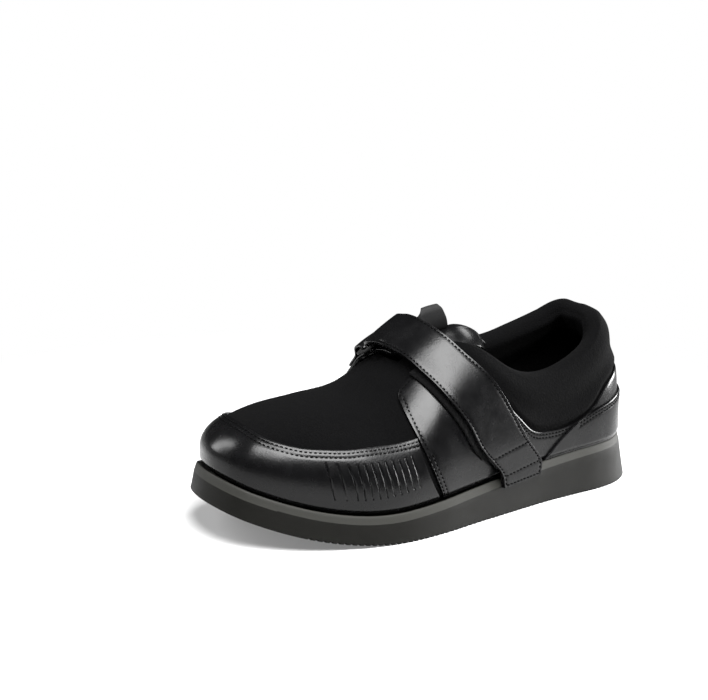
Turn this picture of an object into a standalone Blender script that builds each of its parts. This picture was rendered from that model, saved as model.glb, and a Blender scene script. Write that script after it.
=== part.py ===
# Left bunion shoe with one hook-and-loop strap, built as its real pieces.
# Metres, +Z up, toe towards -Y, outer (lateral) side towards +X, standing on z = 0.
# "along" runs from 0 at the heel's end to 1 at the toe's tip.
# "around" runs once round the sole: 0 at the heel's end, over the lateral side to the
# toe's tip at 0.5, and back over the medial side.
# "climb" runs up the upper's wall: 0 at its lower edge, 1 on the ridge over the foot.

import math
from bisect import bisect_right
from functools import lru_cache

import bpy
import bmesh
from mathutils import Matrix, Vector

# Sole sizes
sole_length = 0.290
ball_width = 0.116
heel_width = 0.088
heel_thickness = 0.0240
forefoot_thickness = 0.0112
toe_spring = 0.0210
heel_bevel = 0.0035
side_flare = 0.0018
heel_flare = 0.0052
band_height = 0.0042
band_inset = 0.0016
toe_ledge = 0.0034
heel_ledge = 0.0020

# Tread sizes
rib_pitch = 0.0037
rib_groove = 0.0017
rib_depth = 0.0011
panel_depth = 0.0024
stud_diameter = 0.0078
stud_height = 0.0016
stud_taper = 0.0007
stud_margin_lateral = 0.0100
stud_margin_medial = 0.0064
notch_length = 0.0165
notch_depth = 0.0050
stud_root = 0.0008
cutter_margin = 0.0040

# Upper sizes, heights over the floor
toe_height = 0.066
instep_height = 0.102
ankle_height = 0.112
wall = 0.0022
collar_pad = 0.0090
overlay = 0.0014
counter_overlay = 0.0012
gap = 0.0003

# Inside and fastening sizes
insole_thickness = 0.0040
insole_clearance = 0.0012
tongue_thickness = 0.0030
strap_thickness = 0.0026
pad_thickness = 0.0012
ring_wire = 0.0022
ring_clearance = 0.0008
tab_thickness = 0.0024
tab_height = 0.0120
anchor_thickness = 0.0014

# Heights of the strap's middle over the upper's face, from the layers under it
strap_low = 3 * gap + overlay + strap_thickness / 2
strap_on_pad = 4 * gap + overlay + pad_thickness + strap_thickness / 2
strap_on_strap = strap_low + strap_thickness + 2 * gap
strap_on_ring = strap_low + strap_thickness + ring_wire + 2 * ring_clearance
ring_height = (strap_low + strap_on_ring) / 2
anchor_low = 2 * gap + overlay + anchor_thickness / 2
anchor_bar = anchor_low + (anchor_thickness + ring_wire) / 2 + ring_clearance
anchor_high = anchor_bar + (anchor_thickness + ring_wire) / 2 + ring_clearance
anchor_closed = anchor_low + anchor_thickness + gap
tongue_under = wall + 2 * gap

# Looks: colour and roughness
leather = ((0.012, 0.012, 0.013), 0.35)
fabric = ((0.010, 0.010, 0.011), 0.95)
rubber = ((0.030, 0.029, 0.026), 0.70)
nylon = ((0.020, 0.020, 0.020), 0.40)

# Where the shape changes, as shares of the sole's length
heel_centre = 0.15
toe_centre = 0.78
spring_start = 0.66
rib_end = 0.873
bevel_end = 0.035
heel_share = 0.25
ball_share = 0.50

# Stations round the shoe and rows up its wall
heel_stations = 5
side_stations = 14
toe_stations = 8
wall_rows = 8

# Sole outline: along as a share of the length, widths as shares of the local width
outline_rows = [
    # along, lateral, medial
    (0.012, 0.164, 0.224),
    (0.035, 0.293, 0.408),
    (0.080, 0.398, 0.493),
    (0.140, 0.457, 0.512),
    (0.220, 0.487, 0.470),
    (0.300, 0.503, 0.414),
    (0.400, 0.482, 0.358),
    (0.500, 0.490, 0.366),
    (0.580, 0.533, 0.400),
    (0.660, 0.556, 0.430),
    (0.730, 0.548, 0.442),
    (0.790, 0.519, 0.419),
    (0.850, 0.474, 0.381),
    (0.900, 0.416, 0.336),
    (0.940, 0.353, 0.281),
    (0.970, 0.288, 0.206),
    (0.990, 0.195, 0.095),
]
heel_tip_side = -0.069
toe_tip_side = 0.053

# Ridge over the foot: the height that each row follows and its share of it
ridge_rows = [
    # along, height, share
    (0.00, ankle_height, 1.00),
    (0.15, ankle_height, 1.00),
    (0.30, ankle_height, 1.00),
    (0.42, ankle_height, 0.98),
    (0.50, instep_height, 1.00),
    (0.57, instep_height, 0.89),
    (0.66, instep_height, 0.71),
    (0.76, toe_height, 1.03),
    (0.86, toe_height, 1.01),
    (1.00, toe_height, 0.96),
]

# Upper sections: the wall's widest height over the rim, its bulge and its roundness
section_rows = [
    # along, lateral wall, medial wall, bulge, lateral round, medial round
    (0.00, 0.018, 0.018, -0.0020, 2.10, 2.10),
    (0.15, 0.018, 0.018, 0.0008, 1.90, 1.95),
    (0.30, 0.016, 0.018, 0.0012, 1.9, 2.0),
    (0.45, 0.012, 0.016, 0.0010, 1.9, 2.0),
    (0.60, 0.010, 0.014, 0.0018, 1.9, 2.1),
    (0.72, 0.010, 0.013, 0.0024, 2.0, 2.3),
    (0.85, 0.010, 0.012, 0.0016, 2.2, 2.35),
    (1.00, 0.008, 0.008, 0.0002, 2.25, 2.25),
]

# Ridge line's place across the foot, as a share of the local width, lateral positive
spine_rows = [
    (0.00, -0.030),
    (0.30, -0.010),
    (0.50, -0.030),
    (0.65, -0.020),
    (0.80, 0.030),
    (1.00, 0.050),
]

# How far up the wall the opening's edge lies, 1 where the upper is closed
opening_rows = [
    # along, lateral, medial
    (0.00, 0.75, 0.75),
    (0.08, 0.71, 0.75),
    (0.16, 0.57, 0.66),
    (0.22, 0.49, 0.61),
    (0.30, 0.45, 0.57),
    (0.38, 0.51, 0.59),
    (0.44, 0.67, 0.72),
    (0.50, 0.80, 0.82),
    (0.56, 0.86, 0.88),
]
throat_end = 0.59

# Above this climb the wall's skins are offset square to it, below it more and more level
level_climb = 0.12

# Edges of the toe guard: from the lateral end round the toe to the medial end
guard_rows = [
    # around low, climb low, around high, climb high, bow
    (0.2955, -0.06, 0.3265, 0.385, 0.010),
    (0.345, -0.06, 0.345, 0.402, 0.0),
    (0.378, -0.06, 0.378, 0.418, 0.0),
    (0.410, -0.06, 0.410, 0.417, 0.0),
    (0.435, -0.06, 0.435, 0.398, 0.0),
    (0.465, -0.06, 0.465, 0.400, 0.0),
    (0.500, -0.06, 0.500, 0.430, 0.0),
    (0.540, -0.06, 0.540, 0.420, 0.0),
    (0.570, -0.06, 0.570, 0.405, 0.0),
    (0.600, -0.06, 0.600, 0.400, 0.0),
    (0.640, -0.06, 0.640, 0.395, 0.0),
    (0.7045, -0.06, 0.6735, 0.385, -0.010),
]

# Edges of the lateral quarter: from its front edge back to the heel's seam
quarter_rows = [
    # around low, climb low, around high, climb high, bow
    (0.2930, -0.06, 0.3262, 0.655, 0.0130),
    (0.2890, -0.06, 0.3205, 0.700, 0.0125),
    (0.2840, -0.06, 0.3070, 0.722, 0.0105),
    (0.2700, -0.06, 0.2880, 0.715, 0.0060),
    (0.2500, -0.06, 0.2600, 0.610, 0.0020),
    (0.2250, -0.06, 0.2320, 0.440, 0.0),
    (0.2000, -0.06, 0.2050, 0.283, 0.0),
    (0.1850, -0.06, 0.1860, 0.190, 0.0),
    (0.1620, -0.06, 0.1620, 0.162, 0.0),
    (0.1400, -0.06, 0.1400, 0.165, 0.0),
    (0.1220, -0.06, 0.1220, 0.188, 0.0),
    (0.1050, -0.06, 0.1050, 0.250, 0.0),
    (0.0890, -0.06, 0.0890, 0.345, 0.0),
    (0.0650, -0.06, 0.0650, 0.440, 0.0),
    (0.0300, -0.06, 0.0300, 0.520, 0.0),
    (0.0015, -0.06, 0.0015, 0.540, 0.0),
]

# Edges of the counter over the heel, from its lateral front to the heel's middle
counter_rows = [
    # around low, climb low, around high, climb high, bow
    (0.1740, -0.06, 0.1280, 0.180, 0.0080),
    (0.1300, -0.06, 0.1100, 0.215, 0.0040),
    (0.1000, -0.06, 0.0920, 0.262, 0.0010),
    (0.0720, -0.06, 0.0700, 0.315, 0.0),
    (0.0350, -0.06, 0.0350, 0.350, 0.0),
    (0.0000, -0.06, 0.0000, 0.360, 0.0),
]

# The strap from its free lateral end over the ridge to its medial fold and back under
strap_rows = [
    # across, front along, back along, height of its middle over the upper's face
    (1.045, 0.423, 0.322, strap_on_pad),
    (0.950, 0.436, 0.324, strap_on_pad),
    (0.800, 0.489, 0.370, strap_on_pad),
    (0.667, 0.515, 0.402, strap_on_pad),
    (0.500, 0.547, 0.437, strap_on_pad),
    (0.333, 0.569, 0.478, strap_on_pad),
    (0.200, 0.579, 0.500, strap_on_strap),
    (0.100, 0.586, 0.511, strap_on_strap),
    (0.020, 0.591, 0.519, strap_on_strap),
    (-0.040, 0.595, 0.524, strap_on_ring),
    (-0.085, 0.597, 0.527, strap_on_ring),
    (-0.112, 0.597, 0.527, ring_height),
    (-0.085, 0.597, 0.527, strap_low),
    (-0.040, 0.595, 0.524, strap_low),
    (0.030, 0.591, 0.519, strap_low),
    (0.100, 0.587, 0.512, strap_low),
]

# The medial quarter's facing, which reaches up to the ridge
medial_front_rows = [
    # around low, climb low, around high, climb high, bow
    (0.2930, -0.06, 0.3290, 0.830, 0.0130),
    (0.2905, -0.06, 0.3240, 0.925, 0.0110),
    (0.2850, -0.06, 0.3160, 0.960, 0.0080),
    (0.2750, -0.06, 0.3000, 0.900, 0.0040),
    (0.2550, -0.06, 0.2700, 0.720, 0.0020),
]

# Hook-and-loop pad on the lateral quarter, under the strap
pad_rows = [
    # across, front along, back along
    (0.870, 0.474, 0.380),
    (0.800, 0.499, 0.400),
    (0.680, 0.524, 0.420),
    (0.500, 0.558, 0.450),
    (0.350, 0.579, 0.500),
    (0.270, 0.587, 0.540),
]

# The tongue: half its width as a share of the girth
tongue_rows = [
    # along, half width, drop of its top below the upper's wall
    (0.360, 0.250, 0.0125),
    (0.380, 0.255, 0.0105),
    (0.420, 0.240, 0.0074),
    (0.460, 0.215, 0.0062),
    (0.500, 0.210, 0.0036),
    (0.560, 0.220, 0.0014),
    (0.640, 0.210, 0.0010),
]

# Ring at the strap's medial fold: its corners along and across
ring_front = 0.610
ring_back = 0.514
ring_top = -0.072
ring_foot = -0.195

# Leather anchor that holds the ring: from its lower end round the ring and back
anchor_rows = [
    # across, height of its middle over the upper's face
    (-0.410, anchor_low),
    (-0.290, anchor_low),
    (-0.200, anchor_low),
    (-0.168, anchor_bar),
    (-0.200, anchor_high),
    (-0.250, anchor_high),
    (-0.305, anchor_closed),
    (-0.410, anchor_closed),
]
anchor_front = 0.596
anchor_back = 0.528

# Tab on the tongue behind the strap: it lies across the tongue and turns up
tab_front = 0.505
tab_back = 0.462
tab_end = -0.150
tab_turn = 0.000
tab_rows = [
    # rise and lean as shares of the tab's height, share of its width
    (0.00, 0.00, 1.00),
    (0.20, 0.16, 1.00),
    (0.50, 0.27, 0.98),
    (0.78, 0.26, 0.88),
    (0.94, 0.18, 0.70),
    (1.00, 0.10, 0.50),
]

# Edges of the tread's sunken panel, as shares of the local width
panel_rows = [
    # along, lateral, medial
    (-0.020, 0.115, 0.234),
    (0.050, 0.148, 0.234),
    (0.130, 0.224, 0.227),
    (0.190, 0.237, 0.181),
    (0.245, 0.243, 0.138),
    (0.300, 0.223, 0.099),
    (0.400, 0.240, 0.071),
    (0.455, 0.254, 0.089),
    (0.500, 0.301, 0.118),
    (0.555, 0.343, 0.155),
    (0.610, 0.371, 0.198),
    (0.685, 0.368, 0.231),
    (0.745, 0.338, 0.241),
    (0.800, 0.306, 0.228),
    (0.873, 0.251, 0.198),
]

# Stud fields of the heel and the forefoot, in columns across the tread
stud_rows = [
    # first along, columns, studs in end columns, studs in the others, pitch
    (0.024, 8, 3, 3, 0.0285),
    (0.490, 12, 4, 5, 0.0332),
]

# Waist notches in the tread's borders
notch_rows = [
    # along, inner share, outer share
    (0.354, 0.188, 0.313),
    (0.356, -0.179, -0.066),
]


def smooth(rows, x, column=1):
    """Smooth curve through a table's rows, held level past its ends."""
    keys = [row[0] for row in rows]
    if x <= keys[0]:
        return rows[0][column]
    if x >= keys[-1]:
        return rows[-1][column]
    k = bisect_right(keys, x) - 1

    def slope(i):
        low, high = max(i - 1, 0), min(i + 1, len(rows) - 1)
        return (rows[high][column] - rows[low][column]) / (keys[high] - keys[low])

    span = keys[k + 1] - keys[k]
    s = (x - keys[k]) / span
    return (
        (2 * s**3 - 3 * s**2 + 1) * rows[k][column]
        + (s**3 - 2 * s**2 + s) * span * slope(k)
        + (3 * s**2 - 2 * s**3) * rows[k + 1][column]
        + (s**3 - s**2) * span * slope(k + 1)
    )


def ease(x, low, high):
    s = min(1.0, max(0.0, (x - low) / (high - low)))
    return s * s * (3 - 2 * s)


def local_width(along):
    return heel_width + (ball_width - heel_width) * ease(along, heel_share, ball_share)


def side_shift():
    """Moves the outline so that the sole's box is centred on x = 0."""
    lateral = max(row[1] * local_width(row[0]) for row in outline_rows)
    medial = max(row[2] * local_width(row[0]) for row in outline_rows)
    return (lateral - medial) / 2


def place(along, share):
    """Plan position from the length and a side share, lateral positive."""
    x = share * local_width(along) - side_shift()
    return Vector((x, sole_length * (0.5 - along)))


def outline_points():
    lateral = [place(along, share) for along, share, _ in outline_rows]
    medial = [place(along, -share) for along, _, share in reversed(outline_rows)]
    return [place(0, heel_tip_side), *lateral, place(1, toe_tip_side), *medial]


@lru_cache(maxsize=None)
def outline_table():
    """Closed outline as rows of running length, x and y, with overlap past both ends."""
    points = outline_points()
    count = len(points)
    rows = []
    length = 0.0
    start = -3
    for k in range(start, count + 4):
        point = points[k % count]
        if k > start:
            length += (point - points[(k - 1) % count]).length
        rows.append((length, point.x, point.y))
    origin = rows[-start][0]
    return [(row[0] - origin, row[1], row[2]) for row in rows]


@lru_cache(maxsize=None)
def outline_marks():
    """Running length at the toe's tip and once round."""
    rows = outline_table()
    toe = rows[3 + len(outline_rows) + 1][0]
    full = rows[3 + 2 * len(outline_rows) + 2][0]
    return toe, full


def outline_at(length):
    rows = outline_table()
    return Vector((smooth(rows, length, 1), smooth(rows, length, 2)))


@lru_cache(maxsize=None)
def length_at(side, along):
    """Running length of the outline's point at this share, on one side."""
    toe, full = outline_marks()
    low, high = (0.0, toe) if side == "lateral" else (full, toe)
    target = sole_length * (0.5 - along)
    for _ in range(40):
        middle = (low + high) / 2
        if outline_at(middle).y > target:
            low = middle
        else:
            high = middle
    return (low + high) / 2


def lateral(along):
    """Around value of a point on the lateral side, between the two centres."""
    return 0.1 + 0.3 * (along - heel_centre) / (toe_centre - heel_centre)


def medial(along):
    return 1.0 - lateral(along)


@lru_cache(maxsize=None)
def outline_length(around):
    """Running length for an around value."""
    around %= 1.0
    toe, full = outline_marks()
    if around > 0.5:
        side, turn, end = "medial", 1.0 - around, full
    else:
        side, turn, end = "lateral", around, 0.0
    if turn < 0.1:
        return end + (length_at(side, heel_centre) - end) * turn / 0.1
    if turn > 0.4:
        begin = length_at(side, toe_centre)
        return begin + (toe - begin) * (turn - 0.4) / 0.1
    return length_at(side, heel_centre + (toe_centre - heel_centre) * (turn - 0.1) / 0.3)


def share_at(y):
    return 0.5 - y / sole_length


def bottom_height(along):
    """Underside over the floor: flat from heel to ball, then the toe spring."""
    bevel = max(0.0, 1 - along / bevel_end)
    return tread_height(along) + heel_bevel * bevel**2


def rim_height(along):
    """Top of the sole's rim over the floor."""
    fall = (heel_thickness - forefoot_thickness) * ease(along, 0.0, 0.8)
    return tread_height(along) + heel_thickness - fall + band_height


def ledge(along):
    return heel_ledge + (toe_ledge - heel_ledge) * ease(along, 0.1, 0.7)


def flare(along):
    return heel_flare + (side_flare - heel_flare) * ease(along, 0.0, 0.12)


def rim_inset(along):
    """From the sole's outline to the upper's lower edge."""
    return flare(along) + band_inset + ledge(along)


def inset_point(around, inset):
    """Plan point moved in from the sole's outline."""
    length = outline_length(around)
    step = sole_length / 145
    run = outline_at(length + step) - outline_at(length - step)
    inward = Vector((run.y, -run.x)).normalized()
    point = outline_at(length)
    return point + inward * inset


@lru_cache(maxsize=None)
def crown_rows():
    return [(row[0], row[1] * row[2]) for row in ridge_rows]


def ridge(along):
    return smooth(crown_rows(), along)


@lru_cache(maxsize=None)
def profile(around):
    """One profile up the wall: points with their share of the climb."""
    outer = outline_at(outline_length(around))
    along = min(1.0, max(0.0, share_at(outer.y)))
    edge = inset_point(around, rim_inset(along))
    middle = min(toe_centre, max(heel_centre, along))
    spine = place(middle, smooth(spine_rows, middle))
    turn = math.sin(2 * math.pi * around) / math.sin(0.2 * math.pi)
    blend = 0.5 + 0.5 * math.sin(math.pi / 2 * min(1.0, max(-1.0, turn)))
    rise = smooth(section_rows, along, 1) * blend + smooth(section_rows, along, 2) * (1 - blend)
    power = smooth(section_rows, along, 4) * blend + smooth(section_rows, along, 5) * (1 - blend)
    bulge = smooth(section_rows, along, 3)
    inward = (spine - edge).normalized()
    low = rim_height(along) + gap
    widest = edge - inward * bulge
    points = []
    steps = 10
    for k in range(steps):
        a = k / steps
        plan = edge - inward * bulge * math.sin(a * math.pi / 2)
        points.append(Vector((plan.x, plan.y, low + rise * a)))
    steps = 40
    for k in range(steps + 1):
        a = k / steps * math.pi / 2
        reach = 1 - math.cos(a) ** (2 / power)
        lift = math.sin(a) ** (2 / power)
        plan = widest.lerp(spine, reach)
        crown = ridge(share_at(plan.y))
        points.append(Vector((plan.x, plan.y, low + rise + (crown - low - rise) * lift)))
    lengths = [0.0]
    for first, second in zip(points, points[1:]):
        lengths.append(lengths[-1] + (second - first).length)
    shares = [value / lengths[-1] for value in lengths]
    return points, shares, lengths[-1]


def surface(around, climb):
    """Point on the upper's outer face."""
    points, shares, girth = profile(round(around % 1.0, 6))
    if climb <= 0:
        return points[0] + Vector((0, 0, climb * girth))
    if climb >= 1:
        return points[-1].copy()
    k = bisect_right(shares, climb) - 1
    span = shares[k + 1] - shares[k]
    return points[k].lerp(points[k + 1], (climb - shares[k]) / span)


def widest_climb(around):
    """Share of the climb at which the wall stands out furthest."""
    return profile(round(around % 1.0, 6))[1][10]


def along_at(around):
    return min(1.0, max(0.0, share_at(outline_at(outline_length(around)).y)))


@lru_cache(maxsize=None)
def normal(around, climb):
    """Outward direction of the upper's outer face."""
    climb = min(1.0, max(0.0, climb))
    if climb > 0.985:
        y = surface(around, 1.0).y
        step = sole_length / 72
        fall = ridge(share_at(y - step)) - ridge(share_at(y + step))
        return Vector((0, fall, 2 * step)).normalized()
    side = 0.004
    up = 0.012
    across = surface(around + side, climb) - surface(around - side, climb)
    above = surface(around, min(1.0, climb + up)) - surface(around, max(0.0, climb - up))
    facing = above.cross(across).normalized()
    facing.z = max(0.0, facing.z) * ease(climb, 0.0, level_climb)
    return facing.normalized()


def offset_point(around, climb, offset):
    return surface(around, climb) + normal(round(around % 1.0, 6), round(climb, 5)) * offset


def stations():
    """Around values of the mesh's stations, the same on both sides."""
    first = [0.1 * k / heel_stations for k in range(heel_stations)]
    second = [0.1 + 0.3 * k / side_stations for k in range(side_stations)]
    third = [0.4 + 0.1 * k / toe_stations for k in range(toe_stations + 1)]
    lateral_side = first + second + third
    return lateral_side + [1.0 - value for value in reversed(lateral_side[1:-1])]


def opening(around):
    """Climb of the opening's edge at this station."""
    along = along_at(around)
    if along > throat_end:
        return 1.0
    return smooth(opening_rows, along, 1 if around <= 0.5 else 2)


def wall_depth(around, climb):
    """Wall thickness: the lining and fabric, with the padded collar by the opening."""
    top = opening(around)
    near = ease(climb, top - 0.38, top - 0.08)
    mouth = 1 - ease(along_at(around), 0.42, 0.51)
    return wall + collar_pad * near * mouth


def shell(name, low, high):
    """Closed skin over the upper's outer face, from one offset to another."""
    mesh = bmesh.new()
    outer, inner, crowns = [], [], []
    for around in stations():
        top = opening(around)
        closed = top >= 1.0
        climbs = [top * k / wall_rows for k in range(wall_rows + 1)]
        outer.append([mesh.verts.new(offset_point(around, c, high)) for c in climbs])
        depths = [low(around, c) for c in climbs]
        inner.append([mesh.verts.new(offset_point(around, c, d)) for c, d in zip(climbs, depths)])
        first, last = outer[-1][-1].co, inner[-1][-1].co
        half = (first - last).length / 2
        rise = Vector()
        if not closed:
            run = surface(around, top) - surface(around, top - 0.03)
            rise = run.normalized() * half * 0.9
        crown = []
        for turn in (0.25, 0.5, 0.75):
            reach = (1 - math.cos(turn * math.pi)) / 2
            point = first.lerp(last, reach) + rise * math.sin(turn * math.pi)
            crown.append(mesh.verts.new(point))
        crowns.append([outer[-1][-1], *crown, inner[-1][-1]])
    count = len(outer)
    for i in range(count):
        j = (i + 1) % count
        for k in range(wall_rows):
            for side in (outer, inner):
                mesh.faces.new((side[i][k], side[i][k + 1], side[j][k + 1]))
                mesh.faces.new((side[i][k], side[j][k + 1], side[j][k]))
        mesh.faces.new((outer[i][0], outer[j][0], inner[j][0], inner[i][0]))
        if min(opening(stations()[i]), opening(stations()[j])) < 1.0:
            for k in range(4):
                ring = (crowns[i][k], crowns[i][k + 1], crowns[j][k + 1], crowns[j][k])
                mesh.faces.new(ring)
    bmesh.ops.remove_doubles(mesh, verts=mesh.verts, dist=0.00005)
    loose = [vert for vert in mesh.verts if not vert.link_faces]
    bmesh.ops.delete(mesh, geom=loose, context="VERTS")
    bmesh.ops.recalc_face_normals(mesh, faces=mesh.faces)
    return add_object(name, mesh)


def add_object(name, mesh):
    data = bpy.data.meshes.new(name)
    mesh.to_mesh(data)
    mesh.free()
    item = bpy.data.objects.new(name, data)
    bpy.context.scene.collection.objects.link(item)
    return item


def grid_solid(name, grid, thickness):
    """Sheet of even thickness about a grid of points, rows by columns."""
    rows, columns = len(grid), len(grid[0])
    mesh = bmesh.new()
    top, bottom = [], []
    for i in range(rows):
        top.append([])
        bottom.append([])
        for j in range(columns):
            down = grid[min(i + 1, rows - 1)][j] - grid[max(i - 1, 0)][j]
            side = grid[i][min(j + 1, columns - 1)] - grid[i][max(j - 1, 0)]
            facing = down.cross(side).normalized() * thickness / 2
            top[-1].append(mesh.verts.new(grid[i][j] + facing))
            bottom[-1].append(mesh.verts.new(grid[i][j] - facing))
    for i in range(rows - 1):
        for j in range(columns - 1):
            mesh.faces.new((top[i][j], top[i + 1][j], top[i + 1][j + 1], top[i][j + 1]))
            mesh.faces.new((bottom[i][j], bottom[i][j + 1], bottom[i + 1][j + 1], bottom[i + 1][j]))
    for i in range(rows - 1):
        for j in (0, columns - 1):
            mesh.faces.new((top[i][j], bottom[i][j], bottom[i + 1][j], top[i + 1][j]))
    for j in range(columns - 1):
        for i in (0, rows - 1):
            mesh.faces.new((top[i][j], bottom[i][j], bottom[i][j + 1], top[i][j + 1]))
    bmesh.ops.recalc_face_normals(mesh, faces=mesh.faces)
    return add_object(name, mesh)


def ladder(rows, columns, rungs):
    """Grid of around and climb values: smooth along the rows, bowed rungs across."""
    spread = [(index, *row) for index, row in enumerate(rows)]
    grid = []
    for i in range(columns + 1):
        x = (len(rows) - 1) * i / columns
        low_around, low_climb, high_around, high_climb, bow = [
            smooth(spread, x, column) for column in range(1, 6)
        ]
        line = []
        for j in range(rungs + 1):
            s = j / rungs
            around = low_around + (high_around - low_around) * s + bow * 4 * s * (1 - s)
            line.append((around, low_climb + (high_climb - low_climb) * s))
        grid.append(line)
    return grid


def patch_cutter(name, rows, columns=32, rungs=5):
    """Thick patch round the upper's outer face, to cut an overlay's outline."""
    middle = 0.003
    depth = 0.012
    places = ladder(rows, columns, rungs)
    grid = [[offset_point(around, climb, middle) for around, climb in line] for line in places]
    return as_cutter(grid_solid(name, grid, depth))


def spaced(first, last, steps):
    return [first + (last - first) * k / steps for k in range(steps + 1)]


def as_cutter(item):
    item.hide_render = True
    item.display_type = "WIRE"
    return item


def boolean(item, cutter, operation):
    step = item.modifiers.new(operation.lower(), "BOOLEAN")
    step.operation = operation
    step.object = cutter
    step.solver = "EXACT"


def overlay_piece(name, rows, low, thickness):
    """Leather overlay: the part of a skin over the upper that lies in its patch."""
    item = shell(name, lambda around, climb: low, low + thickness)
    boolean(item, patch_cutter(name + "_patch", rows), "INTERSECT")
    return item


def drape(along, across, offset):
    """Point over the foot: across runs from 1 at the lateral edge to -1 at the medial."""
    around = lateral(along) if across > 0 else medial(along)
    climb = 1 - abs(across)
    brim = widest_climb(around)
    if climb >= brim:
        return offset_point(around, climb, offset)
    fall = (brim - climb) * profile(round(around % 1.0, 6))[2]
    facing = normal(round(around % 1.0, 6), round(brim, 5))
    level = Vector((facing.x, facing.y, 0)).normalized()
    return surface(around, brim) + level * offset - Vector((0, 0, fall))


def sole_ring(mesh, inset, height):
    verts = []
    for around in stations():
        along = along_at(around)
        plan = inset_point(around, inset(along))
        verts.append(mesh.verts.new((plan.x, plan.y, height(along))))
    return verts


def bridge(mesh, lower, upper):
    count = len(lower)
    for i in range(count):
        j = (i + 1) % count
        mesh.faces.new((lower[i], lower[j], upper[j], upper[i]))


def close_across(mesh, ring):
    """Closes a ring with strips from its lateral side to its medial side."""
    count = len(ring)
    half = count // 2
    mesh.faces.new((ring[0], ring[1], ring[-1]))
    for i in range(1, half - 1):
        mesh.faces.new((ring[i], ring[i + 1], ring[count - i - 1], ring[count - i]))
    mesh.faces.new((ring[half - 1], ring[half], ring[half + 1]))


def stack(name, levels):
    """Solid from rings of the sole's outline, each an inset and a height."""
    mesh = bmesh.new()
    rings = [sole_ring(mesh, inset, height) for inset, height in levels]
    for lower, upper in zip(rings, rings[1:]):
        bridge(mesh, lower, upper)
    close_across(mesh, rings[0])
    close_across(mesh, rings[-1])
    bmesh.ops.recalc_face_normals(mesh, faces=mesh.faces)
    return add_object(name, mesh)


def tread_height(along):
    """Tread over the floor, without the bevel at the heel's end."""
    return toe_spring * max(0.0, (along - spring_start) / (1 - spring_start)) ** 2


def tread_slope(along):
    step = 0.005
    rise = tread_height(along + step) - tread_height(along - step)
    return math.atan2(rise, 2 * step * sole_length)


def tread_place(along, x):
    """Frame on the tread: its origin and the turn about X that follows the toe spring."""
    slope = tread_slope(along)
    return Matrix.Translation((x, sole_length * (0.5 - along), tread_height(along))) @ (
        Matrix.Rotation(-slope, 4, "X")
    )


def groove_cutter():
    """Grooves between the tread's ribs, straight across from side to side."""
    mesh = bmesh.new()
    count = int(rib_end * sole_length / rib_pitch)
    below = cutter_margin
    for k in range(count):
        along = (k + 0.5) * rib_pitch / sole_length
        size = Matrix.Diagonal((2 * ball_width, rib_groove, rib_depth + below, 1))
        middle = Matrix.Translation((0, 0, (rib_depth - below) / 2))
        bmesh.ops.create_cube(mesh, size=1, matrix=tread_place(along, 0) @ middle @ size)
    return as_cutter(add_object("groove_cutter", mesh))


def panel_cutter():
    """Sunken middle panel of the tread, open at the heel's end."""
    mesh = bmesh.new()
    rows = 24
    below = cutter_margin
    rings = []
    for k in range(rows + 1):
        along = panel_rows[0][0] + (panel_rows[-1][0] - panel_rows[0][0]) * k / rows
        left = place(along, smooth(panel_rows, along, 1))
        right = place(along, -smooth(panel_rows, along, 2))
        floor = tread_height(along) + panel_depth
        ring = [(left, -below), (left, floor), (right, floor), (right, -below)]
        rings.append([mesh.verts.new((plan.x, plan.y, z)) for plan, z in ring])
    for first, second in zip(rings, rings[1:]):
        for i in range(4):
            j = (i + 1) % 4
            mesh.faces.new((first[i], first[j], second[j], second[i]))
    mesh.faces.new(rings[0])
    mesh.faces.new(rings[-1])
    bmesh.ops.recalc_face_normals(mesh, faces=mesh.faces)
    return as_cutter(add_object("panel_cutter", mesh))


def notch_cutter():
    mesh = bmesh.new()
    below = cutter_margin
    for along, low, high in notch_rows:
        first, second = place(along, low), place(along, high)
        middle = (first + second) / 2
        size = Matrix.Diagonal((abs(second.x - first.x), notch_length, notch_depth + below, 1))
        centre = Matrix.Translation((middle.x, middle.y, (notch_depth - below) / 2))
        bmesh.ops.create_cube(mesh, size=1, matrix=centre @ size)
    return as_cutter(add_object("notch_cutter", mesh))


def stud_field():
    """Round studs on the panel's floor, sunk a little into the rubber."""
    mesh = bmesh.new()
    sides = 6
    for first, columns, end_count, count, pitch in stud_rows:
        for k in range(columns):
            along = first + pitch * k
            studs = end_count if k < 2 or k == columns - 1 else count
            left = place(along, smooth(panel_rows, along, 1)).x - stud_margin_lateral
            right = place(along, -smooth(panel_rows, along, 2)).x + stud_margin_medial
            for i in range(studs):
                x = left + (right - left) * i / (studs - 1)
                lift = panel_depth - (stud_height - stud_root) / 2
                seat = tread_place(along, x) @ Matrix.Translation((0, 0, lift))
                bmesh.ops.create_cone(
                    mesh, cap_ends=True, segments=sides, depth=stud_height + stud_root,
                    radius1=stud_diameter / 2 - stud_taper, radius2=stud_diameter / 2, matrix=seat,
                )
    return as_cutter(add_object("stud_field", mesh))


def outsole():
    item = stack("outsole", [
        (lambda along: 0.0, bottom_height),
        (flare, lambda along: rim_height(along) - band_height),
        (lambda along: flare(along) + band_inset, rim_height),
    ])
    boolean(item, groove_cutter(), "DIFFERENCE")
    boolean(item, panel_cutter(), "DIFFERENCE")
    boolean(item, notch_cutter(), "DIFFERENCE")
    boolean(item, stud_field(), "UNION")
    return item


def insole():
    inset = insole_clearance + wall
    return stack("insole", [
        (lambda along: rim_inset(along) + inset, lambda along: rim_height(along) + gap),
        (lambda along: rim_inset(along) + inset,
         lambda along: rim_height(along) + gap + insole_thickness),
    ])


def upper():
    return shell("upper", lambda around, climb: -wall_depth(around, climb), 0.0)


def mirrored(rows):
    """The same edges on the medial side."""
    return [(1 - low, c, 1 - high, d, -bow) for low, c, high, d, bow in rows]


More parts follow.
